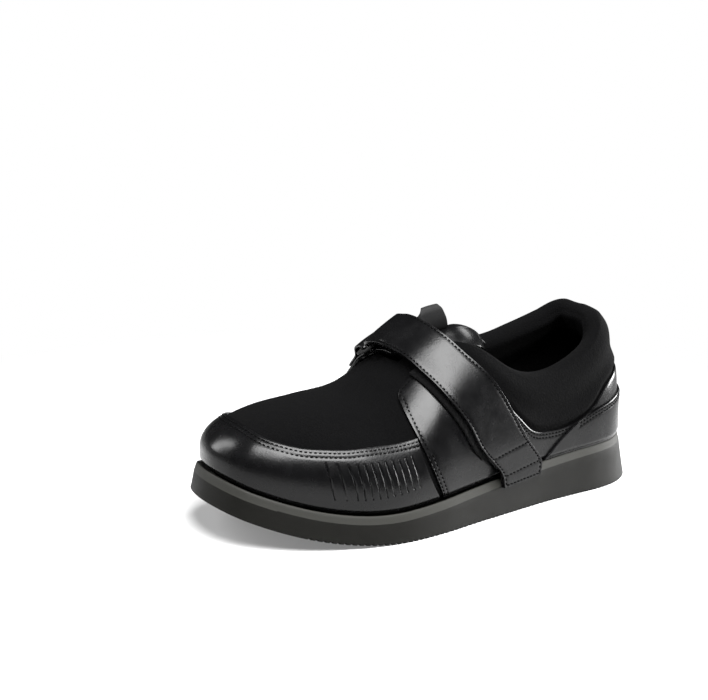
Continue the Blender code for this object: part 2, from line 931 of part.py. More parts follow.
def quarter_medial():
    rows = medial_front_rows + quarter_rows[len(medial_front_rows):]
    return overlay_piece("quarter_medial", mirrored(rows), gap, overlay)


def counter():
    other = [(-low, c, -high, d, -bow) for low, c, high, d, bow in reversed(counter_rows[:-1])]
    low = 2 * gap + overlay
    return overlay_piece("counter", counter_rows + other, low, counter_overlay)


def strap():
    steps = 30
    columns = 4
    spread = [(index, *row) for index, row in enumerate(strap_rows)]
    grid = []
    for i in range(steps + 1):
        x = (len(strap_rows) - 1) * i / steps
        across, front, back, height = [smooth(spread, x, column) for column in (1, 2, 3, 4)]
        grid.append([drape(along, across, height) for along in spaced(front, back, columns)])
    return grid_solid("strap", grid, strap_thickness)


def loop_pad():
    steps = 10
    columns = 2
    height = 3 * gap + overlay + pad_thickness / 2
    ordered = list(reversed(pad_rows))
    grid = []
    for across in spaced(pad_rows[0][0], pad_rows[-1][0], steps):
        front, back = smooth(ordered, across, 1), smooth(ordered, across, 2)
        grid.append([drape(along, across, height) for along in spaced(front, back, columns)])
    return grid_solid("loop_pad", grid, pad_thickness)


def tongue():
    steps = 12
    columns = 6
    grid = []
    for along in spaced(tongue_rows[0][0], tongue_rows[-1][0], steps):
        half, drop = smooth(tongue_rows, along, 1), smooth(tongue_rows, along, 2)
        depth = tongue_under + drop + tongue_thickness / 2
        grid.append([drape(along, across, -depth) for across in spaced(half, -half, columns)])
    return grid_solid("tongue", grid, tongue_thickness)


def ring():
    """Wire ring round which the strap folds, bent over the foot's side."""
    sides = 6
    steps = 6
    corners = [(ring_front, ring_top), (ring_back, ring_top),
               (ring_back, ring_foot), (ring_front, ring_foot)]
    heights = [ring_height, ring_height, anchor_bar, anchor_bar]
    path = []
    for k, (along, across) in enumerate(corners):
        to_along, to_across = corners[(k + 1) % 4]
        for i in range(1, steps):
            s = i / steps
            height = heights[k] + (heights[(k + 1) % 4] - heights[k]) * s
            side = across + (to_across - across) * s
            path.append(drape(along + (to_along - along) * s, side, height))
    mesh = bmesh.new()
    count = len(path)
    up = normal(medial((ring_front + ring_back) / 2), 1 + (ring_top + ring_foot) / 2)
    loops = []
    for k, point in enumerate(path):
        run = (path[(k + 1) % count] - path[k - 1]).normalized()
        side = run.cross(up).normalized()
        rise = side.cross(run)
        turns = [2 * math.pi * i / sides for i in range(sides)]
        loops.append([
            mesh.verts.new(point + (side * math.cos(a) + rise * math.sin(a)) * ring_wire / 2)
            for a in turns
        ])
    for k in range(count):
        for i in range(sides):
            j = (i + 1) % sides
            near, far = loops[k], loops[(k + 1) % count]
            mesh.faces.new((near[i], near[j], far[j], far[i]))
    bmesh.ops.recalc_face_normals(mesh, faces=mesh.faces)
    return add_object("ring", mesh)


def ring_anchor():
    steps = 20
    columns = 2
    spread = [(index, *row) for index, row in enumerate(anchor_rows)]
    grid = []
    for i in range(steps + 1):
        x = (len(anchor_rows) - 1) * i / steps
        across, height = smooth(spread, x, 1), smooth(spread, x, 2)
        alongs = spaced(anchor_front, anchor_back, columns)
        grid.append([drape(along, across, height) for along in alongs])
    return grid_solid("ring_anchor", grid, anchor_thickness)


def tongue_tab():
    columns = 6
    grid = []
    for across in spaced(tab_end, tab_turn, 3):
        line = []
        for along in spaced(tab_front, tab_back, columns):
            seat = -tongue_under - smooth(tongue_rows, along, 2) + gap + tab_thickness / 2
            line.append(drape(along, across, seat))
        grid.append(line)
    base = grid.pop()
    middle = (base[0] + base[-1]) / 2
    for rise, lean, width in tab_rows:
        lift = Vector((lean, 0, rise)) * tab_height
        grid.append([middle + (point - middle) * width + lift for point in base])
    return grid_solid("tongue_tab", grid, tab_thickness)


def finish(item, look):
    """Gives a piece its own material and smooth round faces."""
    colour, roughness = look
    material = bpy.data.materials.new(item.name)
    material.use_nodes = True
    shader = material.node_tree.nodes["Principled BSDF"]
    shader.inputs["Base Color"].default_value = (*colour, 1)
    shader.inputs["Roughness"].default_value = roughness
    shader.inputs["Metallic"].default_value = 0.0
    item.data.materials.append(material)
    item.data.shade_smooth()
    item.data.set_sharp_from_angle(angle=math.radians(35))


def main():
    for item in list(bpy.data.objects):
        bpy.data.objects.remove(item, do_unlink=True)
    finish(outsole(), rubber)
    finish(insole(), fabric)
    finish(upper(), fabric)
    finish(tongue(), leather)
    finish(overlay_piece("toe_guard", guard_rows, gap, overlay), leather)
    finish(overlay_piece("quarter_lateral", quarter_rows, gap, overlay), leather)
    finish(quarter_medial(), leather)
    finish(counter(), leather)
    finish(loop_pad(), fabric)
    finish(strap(), leather)
    finish(ring(), nylon)
    finish(ring_anchor(), leather)
    finish(tongue_tab(), leather)


main()
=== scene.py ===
import math

import bmesh
import bpy
import numpy as np
from mathutils import Matrix, Vector


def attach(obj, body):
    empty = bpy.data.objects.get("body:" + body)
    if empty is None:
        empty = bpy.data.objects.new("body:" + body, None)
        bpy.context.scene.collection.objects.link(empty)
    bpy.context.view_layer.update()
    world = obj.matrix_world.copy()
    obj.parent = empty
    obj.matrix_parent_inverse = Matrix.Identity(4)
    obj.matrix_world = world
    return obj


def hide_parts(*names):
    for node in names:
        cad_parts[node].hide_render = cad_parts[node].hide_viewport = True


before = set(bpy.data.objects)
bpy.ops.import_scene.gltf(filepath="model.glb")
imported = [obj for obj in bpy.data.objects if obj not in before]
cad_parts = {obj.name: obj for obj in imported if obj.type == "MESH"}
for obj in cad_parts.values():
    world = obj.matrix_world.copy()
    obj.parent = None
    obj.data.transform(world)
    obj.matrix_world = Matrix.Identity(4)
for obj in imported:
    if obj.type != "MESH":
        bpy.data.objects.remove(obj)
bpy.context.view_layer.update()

# A left bunion shoe. Toe towards -Y, outer side towards +X, metres.
# around: 0 at the heel, 0.5 at the toe's tip over the outer side, back over the inner side.
# climb: 0 at the upper's lower edge, 1 on the ridge over the foot.
scene = bpy.context.scene

last = {
    "length": 0.290, "ballWidth": 0.116, "heelWidth": 0.088,
    "heelThickness": 0.0240, "forefootThickness": 0.0112, "toeSpring": 0.0210,
    "heelBevel": 0.0035, "sideFlare": 0.0018, "heelFlare": 0.0052,
    "bandHeight": 0.0042, "bandInset": 0.0016, "toeLedge": 0.0034, "heelLedge": 0.0020,
    "toeHeight": 0.066, "instepHeight": 0.102, "ankleHeight": 0.112,
    "heelTip": -0.069, "toeTip": 0.053,
    "heelCentre": 0.15, "toeCentre": 0.78, "springStart": 0.66, "bevelEnd": 0.035,
    "heelShare": 0.25, "ballShare": 0.50,
    "levelClimb": 0.12, "tuck": 0.0012, "tuckClimb": 0.035,
    "aroundSteps": 480, "climbSteps": 160, "wallSamples": 24, "roofSamples": 160,
}
layers = {
    "gap": 0.0003, "overlay": 0.0014, "counter": 0.0012, "wall": 0.0022, "collarPad": 0.0090,
    "insole": 0.0040, "tongue": 0.0030, "strap": 0.0026, "pad": 0.0012,
    "wire": 0.0022, "ringRoom": 0.0008, "tab": 0.0024, "anchor": 0.0014,
}
gap, overlay = layers["gap"], layers["overlay"]

outlineRows = [
    # along, lateral, medial
    (0.012, 0.164, 0.224), (0.035, 0.293, 0.408), (0.080, 0.398, 0.493), (0.140, 0.457, 0.512),
    (0.220, 0.487, 0.470), (0.300, 0.503, 0.414), (0.400, 0.482, 0.358), (0.500, 0.490, 0.366),
    (0.580, 0.533, 0.400), (0.660, 0.556, 0.430), (0.730, 0.548, 0.442), (0.790, 0.519, 0.419),
    (0.850, 0.474, 0.381), (0.900, 0.416, 0.336), (0.940, 0.353, 0.281), (0.970, 0.288, 0.206),
    (0.990, 0.195, 0.095),
]
ridgeRows = [
    # along, height
    (0.00, last["ankleHeight"]), (0.15, last["ankleHeight"]), (0.30, last["ankleHeight"]),
    (0.42, 0.98 * last["ankleHeight"]), (0.50, last["instepHeight"]),
    (0.57, 0.89 * last["instepHeight"]), (0.66, 0.71 * last["instepHeight"]),
    (0.76, 1.03 * last["toeHeight"]), (0.86, 1.01 * last["toeHeight"]),
    (1.00, 0.96 * last["toeHeight"]),
]
sectionRows = [
    # along, lateral wall, medial wall, bulge, lateral round, medial round
    (0.00, 0.018, 0.018, -0.0020, 2.10, 2.10), (0.15, 0.018, 0.018, 0.0008, 1.90, 1.95),
    (0.30, 0.016, 0.018, 0.0012, 1.9, 2.0), (0.45, 0.012, 0.016, 0.0010, 1.9, 2.0),
    (0.60, 0.010, 0.014, 0.0018, 1.9, 2.1), (0.72, 0.010, 0.013, 0.0024, 2.0, 2.3),
    (0.85, 0.010, 0.012, 0.0016, 2.2, 2.35), (1.00, 0.008, 0.008, 0.0002, 2.25, 2.25),
]
spineRows = [
    (0.00, -0.030), (0.30, -0.010), (0.50, -0.030), (0.65, -0.020), (0.80, 0.030), (1.00, 0.050),
]
openingRows = [
    # along, lateral, medial
    (0.00, 0.75, 0.75), (0.08, 0.71, 0.75), (0.16, 0.57, 0.66), (0.22, 0.49, 0.61),
    (0.30, 0.45, 0.57), (0.38, 0.51, 0.59), (0.44, 0.67, 0.72), (0.50, 0.80, 0.82),
    (0.56, 0.86, 0.88),
]
throatEnd = 0.59


def curveAt(rows, x, column=1):
    table = np.array(rows, float)
    keys, values = table[:, 0], table[:, column]
    x = np.clip(np.asarray(x, float), keys[0], keys[-1])
    k = np.clip(np.searchsorted(keys, x, side="right") - 1, 0, len(keys) - 2)
    slopes = np.empty(len(keys))
    slopes[1:-1] = (values[2:] - values[:-2]) / (keys[2:] - keys[:-2])
    slopes[0] = (values[1] - values[0]) / (keys[1] - keys[0])
    slopes[-1] = (values[-1] - values[-2]) / (keys[-1] - keys[-2])
    span = keys[k + 1] - keys[k]
    s = (x - keys[k]) / span
    return (
        (2 * s**3 - 3 * s**2 + 1) * values[k] + (s**3 - 2 * s**2 + s) * span * slopes[k]
        + (3 * s**2 - 2 * s**3) * values[k + 1] + (s**3 - s**2) * span * slopes[k + 1]
    )


def ease(x, low, high):
    s = np.clip((np.asarray(x, float) - low) / (high - low), 0.0, 1.0)
    return s * s * (3 - 2 * s)


def unit(vectors):
    return vectors / np.maximum(np.linalg.norm(vectors, axis=-1, keepdims=True), 1e-12)


def runLengths(points):
    return np.concatenate([[0], np.cumsum(np.linalg.norm(np.diff(points, axis=0), axis=1))])


def samplePath(spots, keys, points):
    return np.column_stack([np.interp(spots, keys, points[:, i]) for i in range(3)])


def rowAt(rows, x):  # every column of a table whose key is the row's own number
    keyed = [(index, *row) for index, row in enumerate(rows)]
    return [curveAt(keyed, x, column) for column in range(1, len(rows[0]) + 1)]


def bell(x, width):
    return np.exp(-((x / width) ** 2))


def localWidth(along):
    grow = ease(along, last["heelShare"], last["ballShare"])
    return last["heelWidth"] + (last["ballWidth"] - last["heelWidth"]) * grow


sideShift = (
    max(row[1] * localWidth(row[0]) for row in outlineRows)
    - max(row[2] * localWidth(row[0]) for row in outlineRows)
) / 2


def planAt(along, share):
    x = share * localWidth(along) - sideShift
    return np.stack([x, last["length"] * (0.5 - np.asarray(along, float))], axis=-1)


def outlineTable():
    outer = [planAt(row[0], row[1]) for row in outlineRows]
    inner = [planAt(row[0], -row[2]) for row in reversed(outlineRows)]
    points = [planAt(0.0, last["heelTip"]), *outer, planAt(1.0, last["toeTip"]), *inner]
    count = len(points)
    rows, length, start = [], 0.0, -3
    for k in range(start, count + 4):
        point = points[k % count]
        if k > start:
            length += np.linalg.norm(point - points[(k - 1) % count])
        rows.append((length, point[0], point[1]))
    origin = rows[-start][0]
    return [(row[0] - origin, row[1], row[2]) for row in rows]


outline = outlineTable()
toeMark = outline[3 + len(outlineRows) + 1][0]
fullMark = outline[3 + 2 * len(outlineRows) + 2][0]
outerRun = np.linspace(0.0, toeMark, 4000)
innerRun = np.linspace(fullMark, toeMark, 4000)
outerShare = 0.5 - curveAt(outline, outerRun, 2) / last["length"]
innerShare = 0.5 - curveAt(outline, innerRun, 2) / last["length"]


def outlineLength(around):
    around = np.asarray(around, float) % 1.0
    inner = around > 0.5
    turn = np.where(inner, 1.0 - around, around)
    along = last["heelCentre"] + (last["toeCentre"] - last["heelCentre"]) * (turn - 0.1) / 0.3
    along = np.clip(along, last["heelCentre"], last["toeCentre"])
    outerPlace = np.interp(along, outerShare, outerRun)
    innerPlace = np.interp(along, innerShare, innerRun)
    side = np.where(inner, innerPlace, outerPlace)
    end = np.where(inner, fullMark, 0.0)
    heel = end + (side - end) * turn / 0.1
    toe = side + (toeMark - side) * (turn - 0.4) / 0.1
    return np.where(turn < 0.1, heel, np.where(turn > 0.4, toe, side))


def outlineAt(length):
    return np.stack([curveAt(outline, length, 1), curveAt(outline, length, 2)], axis=-1)


def alongAt(around):
    point = outlineAt(outlineLength(around))
    return np.clip(0.5 - point[..., 1] / last["length"], 0.0, 1.0)


def treadHeight(along):
    spring = np.clip((np.asarray(along) - last["springStart"]) / (1 - last["springStart"]), 0, None)
    return last["toeSpring"] * spring**2


def rimHeight(along):
    fall = (last["heelThickness"] - last["forefootThickness"]) * ease(along, 0.0, 0.8)
    return treadHeight(along) + last["heelThickness"] - fall + last["bandHeight"]


def flareAt(along):
    return last["heelFlare"] + (last["sideFlare"] - last["heelFlare"]) * ease(along, 0.0, 0.12)


def rimInset(along):
    ledge = last["heelLedge"] + (last["toeLedge"] - last["heelLedge"]) * ease(along, 0.1, 0.7)
    return flareAt(along) + last["bandInset"] + ledge


def insetPoint(around, inset):
    length = outlineLength(around)
    run = outlineAt(length + 0.002) - outlineAt(length - 0.002)
    inward = unit(np.stack([run[..., 1], -run[..., 0]], axis=-1))
    return outlineAt(length) + inward * np.asarray(inset)[..., None]


def profileAt(around, climbs):
    outer = outlineAt(outlineLength(around))
    along = float(np.clip(0.5 - outer[1] / last["length"], 0, 1))
    edge = insetPoint(around, rimInset(along))
    middle = min(last["toeCentre"], max(last["heelCentre"], along))
    spine = planAt(middle, curveAt(spineRows, middle))
    turn = math.sin(2 * math.pi * around) / math.sin(0.2 * math.pi)
    blend = 0.5 + 0.5 * math.sin(math.pi / 2 * min(1.0, max(-1.0, turn)))
    outerRise, innerRise, bulge, outerRound, innerRound = (
        curveAt(sectionRows, along, column) for column in range(1, 6)
    )
    rise = outerRise * blend + innerRise * (1 - blend)
    power = outerRound * blend + innerRound * (1 - blend)
    inward = unit(spine - edge)
    low = rimHeight(along) + gap
    first = np.linspace(0, 1, last["wallSamples"], endpoint=False)
    plan = edge - inward * (bulge * np.sin(first * math.pi / 2))[:, None]
    wallPart = np.column_stack([plan, low + rise * first])
    turn = np.linspace(0, math.pi / 2, last["roofSamples"])
    reach = 1 - np.cos(turn) ** (2 / power)
    lift = np.sin(turn) ** (2 / power)
    plan = (edge - inward * bulge) * (1 - reach)[:, None] + spine * reach[:, None]
    crown = curveAt(ridgeRows, 0.5 - plan[:, 1] / last["length"])
    roof = np.column_stack([plan, low + rise + (crown - low - rise) * lift])
    points = np.vstack([wallPart, roof])
    lengths = runLengths(points)
    shares = lengths / lengths[-1]
    return samplePath(climbs, shares, points), lengths[-1], shares[last["wallSamples"]]


def buildLast():
    count, rungs = last["aroundSteps"], last["climbSteps"]
    climbs = np.linspace(0, 1, rungs + 1)
    points = np.empty((count, rungs + 1, 3))
    girths, brims = np.empty(count), np.empty(count)
    for i in range(count):
        points[i], girths[i], brims[i] = profileAt(i / count, climbs)
    side = max(1, round(0.004 * count))
    up = max(1, round(0.012 * rungs))
    across = np.roll(points, -side, axis=0) - np.roll(points, side, axis=0)
    index = np.arange(rungs + 1)
    above = points[:, np.minimum(index + up, rungs)] - points[:, np.maximum(index - up, 0)]
    facing = unit(np.cross(above, across))
    y = points[:, -1, 1]
    step = 0.004
    fall = (
        curveAt(ridgeRows, 0.5 - (y - step) / last["length"])
        - curveAt(ridgeRows, 0.5 - (y + step) / last["length"])
    )
    top = unit(np.stack([np.zeros(count), fall, np.full(count, 2 * step)], axis=1))
    mix = ease(climbs, 0.93, 0.985)[None, :, None]
    facing = facing * (1 - mix) + top[:, None, :] * mix
    level = ease(climbs, 0.0, last["levelClimb"])
    facing[..., 2] = np.maximum(facing[..., 2], 0) * level[None, :]
    return np.concatenate([points, unit(facing)], axis=2), girths, brims


lastTable, girthTable, brimTable = buildLast()
print("last built")


def cubicWeights(t):
    return [
        0.5 * (-t + 2 * t**2 - t**3), 0.5 * (2 - 5 * t**2 + 3 * t**3),
        0.5 * (t + 4 * t**2 - 3 * t**3), 0.5 * (-(t**2) + t**3),
    ]


def lastAt(around, climb):
    around, climb = np.broadcast_arrays(np.asarray(around, float), np.asarray(climb, float))
    count, rungs = last["aroundSteps"], last["climbSteps"]
    x = (around % 1.0) * count
    y = np.clip(climb, 0, 1) * rungs
    i, j = np.floor(x).astype(int), np.minimum(np.floor(y).astype(int), rungs - 1)
    result = np.zeros((*around.shape, 6))
    for a, wide in zip(range(-1, 3), cubicWeights(x - i)):
        for b, tall in zip(range(-1, 3), cubicWeights(y - j)):
            part = lastTable[(i + a) % count, np.clip(j + b, 0, rungs)]
            result += part * (wide * tall)[..., None]
    return result


def skinAt(around, climb, lift=0.0):
    found = lastAt(around, climb)
    point = found[..., :3] + unit(found[..., 3:]) * np.asarray(lift, float)[..., None]
    point[..., 2] += np.minimum(np.broadcast_to(climb, point.shape[:-1]), 0) * girthAt(around)
    return point


def tuckAt(climb):
    return -last["tuck"] * (1 - ease(climb, 0.0, last["tuckClimb"]))


def roundTable(around, table):
    keys = np.arange(len(table)) / len(table)
    return np.interp(np.asarray(around, float) % 1.0, keys, table, period=1.0)


def girthAt(around):
    return roundTable(around, girthTable)


def lateral(along):
    span = last["toeCentre"] - last["heelCentre"]
    return 0.1 + 0.3 * (np.asarray(along, float) - last["heelCentre"]) / span


def drapeAt(along, across, lift):
    along, across, lift = np.broadcast_arrays(*(
        np.asarray(value, float) for value in (along, across, lift)
    ))
    around = np.where(across > 0, lateral(along), 1 - lateral(along))
    climb = 1 - np.abs(across)
    brim = roundTable(around, brimTable)
    fall = np.maximum(brim - climb, 0) * girthAt(around)
    found = lastAt(around, np.maximum(climb, brim))
    normal = found[..., 3:]
    flat = normal * (1, 1, 0)
    hang = np.clip(fall / 0.003, 0, 1)[..., None]  # level below the brim
    normal = unit(normal * (1 - hang) + flat * hang)
    point = found[..., :3] + normal * lift[..., None]
    point[..., 2] -= fall
    return point


def edgeAt(around):
    along = alongAt(around)
    side = np.asarray(around, float) % 1.0 <= 0.5
    return np.where(side, curveAt(openingRows, along, 1), curveAt(openingRows, along, 2))


edgeKeys = np.arange(720) / 720
edgeBell = bell(np.arange(-30, 31), 11.0)  # rounds the rim where the rows meet
edgeTable = np.convolve(np.tile(edgeAt(edgeKeys), 3), edgeBell / edgeBell.sum(), "same")[720:1440]


def openingAt(around):
    return np.where(alongAt(around) > throatEnd, 1.0, roundTable(around, edgeTable))


def gridPiece(columns, rungs, place):
    mesh = bmesh.new()
    wide, tall = len(columns) - 1, len(rungs) - 1
    bmesh.ops.create_grid(mesh, x_segments=wide, y_segments=tall, size=0.5)
    verts = list(mesh.verts)
    spots = np.array([vert.co[:2] for vert in verts])
    i = np.rint((spots[:, 0] + 0.5) * wide).astype(int)
    j = np.rint((spots[:, 1] + 0.5) * tall).astype(int)
    columns, rungs = np.asarray(columns), np.asarray(rungs)
    points = place(columns[i], rungs[j])
    for vert, point in zip(verts, points):
        vert.co = point
    return mesh, (i, j)


def faceAway(mesh):  # away from the shoe's middle line
    mesh.normal_update()
    turned = sum(face.normal.xy.dot(face.calc_center_median().xy) for face in mesh.faces)
    if turned < 0:
        bmesh.ops.reverse_faces(mesh, faces=mesh.faces)


def makePiece(name, mesh, look):
    data = bpy.data.meshes.new(name)
    mesh.to_mesh(data)
    mesh.free()
    piece = bpy.data.objects.new(name, data)
    scene.collection.objects.link(piece)
    data.materials.append(look)
    data.shade_smooth()
    return piece


def settle(piece, slotName, *nodes):
    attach(piece, "root")
    if nodes:
        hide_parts(*nodes)


def thicken(piece, thickness, edge=0.0005, offset=-1, even=True):
    solid = piece.modifiers.new("wall", "SOLIDIFY")
    solid.thickness = thickness
    solid.offset = offset
    solid.use_even_offset = even
    if edge:
        bevel = piece.modifiers.new("edge", "BEVEL")
        bevel.width = edge
        bevel.segments = 3
        bevel.limit_method = "ANGLE"
        bevel.angle_limit = math.radians(50)


def sheetPiece(name, columns, rungs, place, look, node, thickness, edge=0.0005, even=True):
    mesh, _ = gridPiece(columns, rungs, place)
    piece = makePiece(name, mesh, look)
    thicken(piece, thickness, edge, 0, even)
    settle(piece, node, node)


panelTuck = 0.06  # climb below the upper's lower edge from which the bows run


def ladderAt(rows, x, s):
    lowAround, highAround, highClimb, bow = rowAt(rows, x)
    skip = panelTuck / (highClimb + panelTuck)
    s = skip + (1 - skip) * s
    around = lowAround + (highAround - lowAround) * s + bow * 4 * s * (1 - s)
    return around, (highClimb + panelTuck) * s - panelTuck


def troughs(points, lines):
    total = np.zeros(len(points))
    for line, width, depth in lines:
        nearest = np.full(len(points), 1e9)
        for start in range(0, len(line), 200):
            part = line[start:start + 200]
            gaps = np.linalg.norm(points[:, None, :] - part[None, :, :], axis=2)
            nearest = np.minimum(nearest, gaps.min(axis=1))
        total -= depth * bell(nearest, width)
    return total


def densify(points, step=0.0006):
    lengths = runLengths(points)
    spots = np.linspace(0, lengths[-1], max(2, int(lengths[-1] / step) + 1))
    return samplePath(spots, lengths, points)


def newMaterial(name):
    material = bpy.data.materials.new(name)
    material.use_nodes = True
    tree = material.node_tree
    shader = tree.nodes["Principled BSDF"]
    return material, tree, shader


def wire(tree, start, end):
    tree.links.new(start, end)


def addNode(tree, kind, **values):
    node = tree.nodes.new(kind)
    for key, value in values.items():
        if key in node.inputs:
            node.inputs[key].default_value = value
        else:
            setattr(node, key, value)
    return node


def setInputs(node, values):
    for key, value in values.items():
        node.inputs[key].default_value = value


def feed(tree, socket, value):
    if isinstance(value, bpy.types.NodeSocket):
        wire(tree, value, socket)
    else:
        socket.default_value = value


def mathNode(tree, operation, *values):
    node = addNode(tree, "ShaderNodeMath", operation=operation)
    for socket, value in zip(node.inputs, values):
        feed(tree, socket, value)
    return node.outputs[0]


def rangeNode(tree, value, *ends):  # low and high in, low and high out
    node = tree.nodes.new("ShaderNodeMapRange")
    setInputs(node, dict(zip(("From Min", "From Max", "To Min", "To Max"), ends)))
    wire(tree, value, node.inputs["Value"])
    return node.outputs["Result"]


def mixTint(tree, factor, first, second):
    node = addNode(tree, "ShaderNodeMix", data_type="RGBA")
    for key, value in (("Factor", factor), ("A", first), ("B", second)):
        feed(tree, node.inputs[key], value)
    return node.outputs["Result"]


def patternNode(tree, kind, **values):
    place = tree.nodes.new("ShaderNodeTexCoord")
    node = addNode(tree, "ShaderNodeTex" + kind, **values)
    wire(tree, place.outputs["Object"], node.inputs["Vector"])
    return node.outputs[0]


def addRelief(tree, shader, height, strength, distance):
    node = addNode(tree, "ShaderNodeBump", Strength=strength, Distance=distance)
    wire(tree, height, node.inputs["Height"])
    wire(tree, node.outputs["Normal"], shader.inputs["Normal"])


def buildGrainGroup():
    group = bpy.data.node_groups.new("hideGrain", "ShaderNodeTree")
    face = group.interface
    for name in ("Pore Size", "Wave Size", "Pore Depth", "Wave Depth"):
        face.new_socket(name=name, in_out="INPUT", socket_type="NodeSocketFloat")
    for name in ("Height", "Shade"):
        face.new_socket(name=name, in_out="OUTPUT", socket_type="NodeSocketFloat")
    inlet = group.nodes.new("NodeGroupInput").outputs
    outlet = group.nodes.new("NodeGroupOutput").inputs
    pores = patternNode(group, "Voronoi", feature="SMOOTH_F1")
    waves = patternNode(group, "Noise", Detail=3.0, Roughness=0.45)
    patches = patternNode(group, "Noise", Scale=110.0, Detail=4.0, Roughness=0.6)
    wire(group, inlet["Pore Size"], pores.node.inputs["Scale"])
    wire(group, inlet["Wave Size"], waves.node.inputs["Scale"])
    depth = mathNode(group, "MULTIPLY", pores, inlet["Pore Depth"])
    swell = mathNode(group, "MULTIPLY", waves, inlet["Wave Depth"])
    wire(group, mathNode(group, "ADD", depth, swell), outlet["Height"])
    wire(group, patches, outlet["Shade"])
    return group


grainGroup = buildGrainGroup()
leatherLook = {
    "dark": (0.0014, 0.0014, 0.0015, 1), "light": (0.0036, 0.0036, 0.0039, 1),
    "rough": (0.22, 0.30), "bump": 0.30, "bumpDepth": 0.0006, "specular": 0.22,
    "grain": {"Pore Size": 1100.0, "Pore Depth": 0.18, "Wave Depth": 0.30},
}
fabricLook = {
    "dark": (0.0005, 0.0005, 0.0006, 1), "light": (0.0020, 0.0020, 0.0022, 1),
    # inside: painted shade, a near-black tone the knit takes on deeper inside the shoe
    "inside": (0.0002, 0.0002, 0.0002, 1), "rough": 0.95, "specular": 0.055, "sheenRough": 0.5,
    "bumpDepth": 0.0005,
}
rubberLook = {
    "dark": (0.0026, 0.0026, 0.0020, 1), "light": (0.0042, 0.0041, 0.0031, 1),
    # band: painted highlight, a lighter tone on the sole's upper band, whose face tilts up to the
    # light
    "band": (0.040, 0.040, 0.036, 1), "rough": (0.50, 0.68), "specular": 0.14,
    "bump": 0.3, "bumpDepth": 0.0003,
}


def buildLeather(name, waveSize=55.0, rough=leatherLook["rough"]):
    material, tree, shader = newMaterial(name)
    grain = tree.nodes.new("ShaderNodeGroup")
    grain.node_tree = grainGroup
    setInputs(grain, {**leatherLook["grain"], "Wave Size": waveSize})
    shade = grain.outputs["Shade"]
    tint = mixTint(tree, shade, leatherLook["dark"], leatherLook["light"])
    wire(tree, tint, shader.inputs["Base Color"])
    wire(tree, rangeNode(tree, shade, 0.3, 0.7, *rough), shader.inputs["Roughness"])
    addRelief(tree, shader, grain.outputs["Height"], leatherLook["bump"], leatherLook["bumpDepth"])
    setInputs(shader, {"Specular IOR Level": leatherLook["specular"]})
    return material


def buildFabric(name, dark=fabricLook["dark"], light=fabricLook["light"], scale=900.0, sheen=0.002,
                bump=0.5):
    material, tree, shader = newMaterial(name)
    loops = patternNode(tree, "Voronoi", Scale=scale)
    fuzz = patternNode(tree, "Noise", Scale=scale * 1.7, Detail=4.0, Roughness=0.7)
    cloud = patternNode(tree, "Noise", Scale=260.0, Detail=5.0, Roughness=0.75)
    spread = rangeNode(tree, mathNode(tree, "MULTIPLY", fuzz, cloud), 0.12, 0.40)
    tint = mixTint(tree, spread, dark, light)
    # Painted shade: the knit darkens towards the inside colour the deeper it lies down the shoe's
    # inner wall, with a little noise.
    depth = addNode(tree, "ShaderNodeAttribute", attribute_name="depth").outputs["Fac"]
    insideShadeMask = mathNode(tree, "MULTIPLY_ADD", cloud, 0.10, depth)
    inside = mixTint(tree, rangeNode(tree, insideShadeMask, 0.04, 0.12), tint, fabricLook["inside"])
    wire(tree, inside, shader.inputs["Base Color"])
    addRelief(tree, shader, mathNode(tree, "ADD", loops, fuzz), bump, fabricLook["bumpDepth"])
    setInputs(shader, {
        "Roughness": fabricLook["rough"], "Specular IOR Level": fabricLook["specular"],
        "Sheen Weight": sheen, "Sheen Roughness": fabricLook["sheenRough"],
    })
    return material


def buildRubber(name, dark=rubberLook["dark"], light=rubberLook["light"], lift=0.0):
    material, tree, shader = newMaterial(name)
    cloud = patternNode(tree, "Noise", Scale=130.0, Detail=6.0, Roughness=0.6)
    fine = patternNode(tree, "Noise", Scale=2600.0, Detail=2.0, Roughness=0.6)
    # Painted highlight: faces marked band take the lighter band colour, as much as lift says.
    band = addNode(tree, "ShaderNodeAttribute", attribute_name="band").outputs["Fac"]
    share = mathNode(tree, "MULTIPLY", band, lift)
    tint = mixTint(tree, share, mixTint(tree, cloud, dark, light), rubberLook["band"])
    wire(tree, tint, shader.inputs["Base Color"])
    addRelief(tree, shader, fine, rubberLook["bump"], rubberLook["bumpDepth"])
    gloss = rangeNode(tree, cloud, 0.0, 1.0, *rubberLook["rough"])
    wire(tree, gloss, shader.inputs["Roughness"])
    setInputs(shader, {"Specular IOR Level": rubberLook["specular"]})
    return material


leather = buildLeather("blackHide")
strapLeather = buildLeather("strapHide", waveSize=40.0)
tabHide = buildLeather("tabHide", rough=(0.60, 0.72))
knit = buildFabric("blackKnit")
lining = buildFabric(
    "blackLining", (0.0010, 0.0010, 0.0011, 1), (0.0030, 0.0030, 0.0031, 1), sheen=0.0
)
pile = buildFabric("loopPile", scale=420.0, bump=1.0, sheen=0.05)
rubber = buildRubber("soleRubber", lift=0.55)
threadLook = buildFabric(
    "blackThread", (0.0008, 0.0008, 0.0009, 1), (0.0030, 0.0030, 0.0031, 1), scale=1800.0, sheen=0.0
)
print("materials built")


thread = {
    "pitch": 0.0026, "length": 0.0018, "width": 0.00080, "height": 0.00050,
    "grooveWidth": 0.0009, "grooveDepth": 0.00022,
}


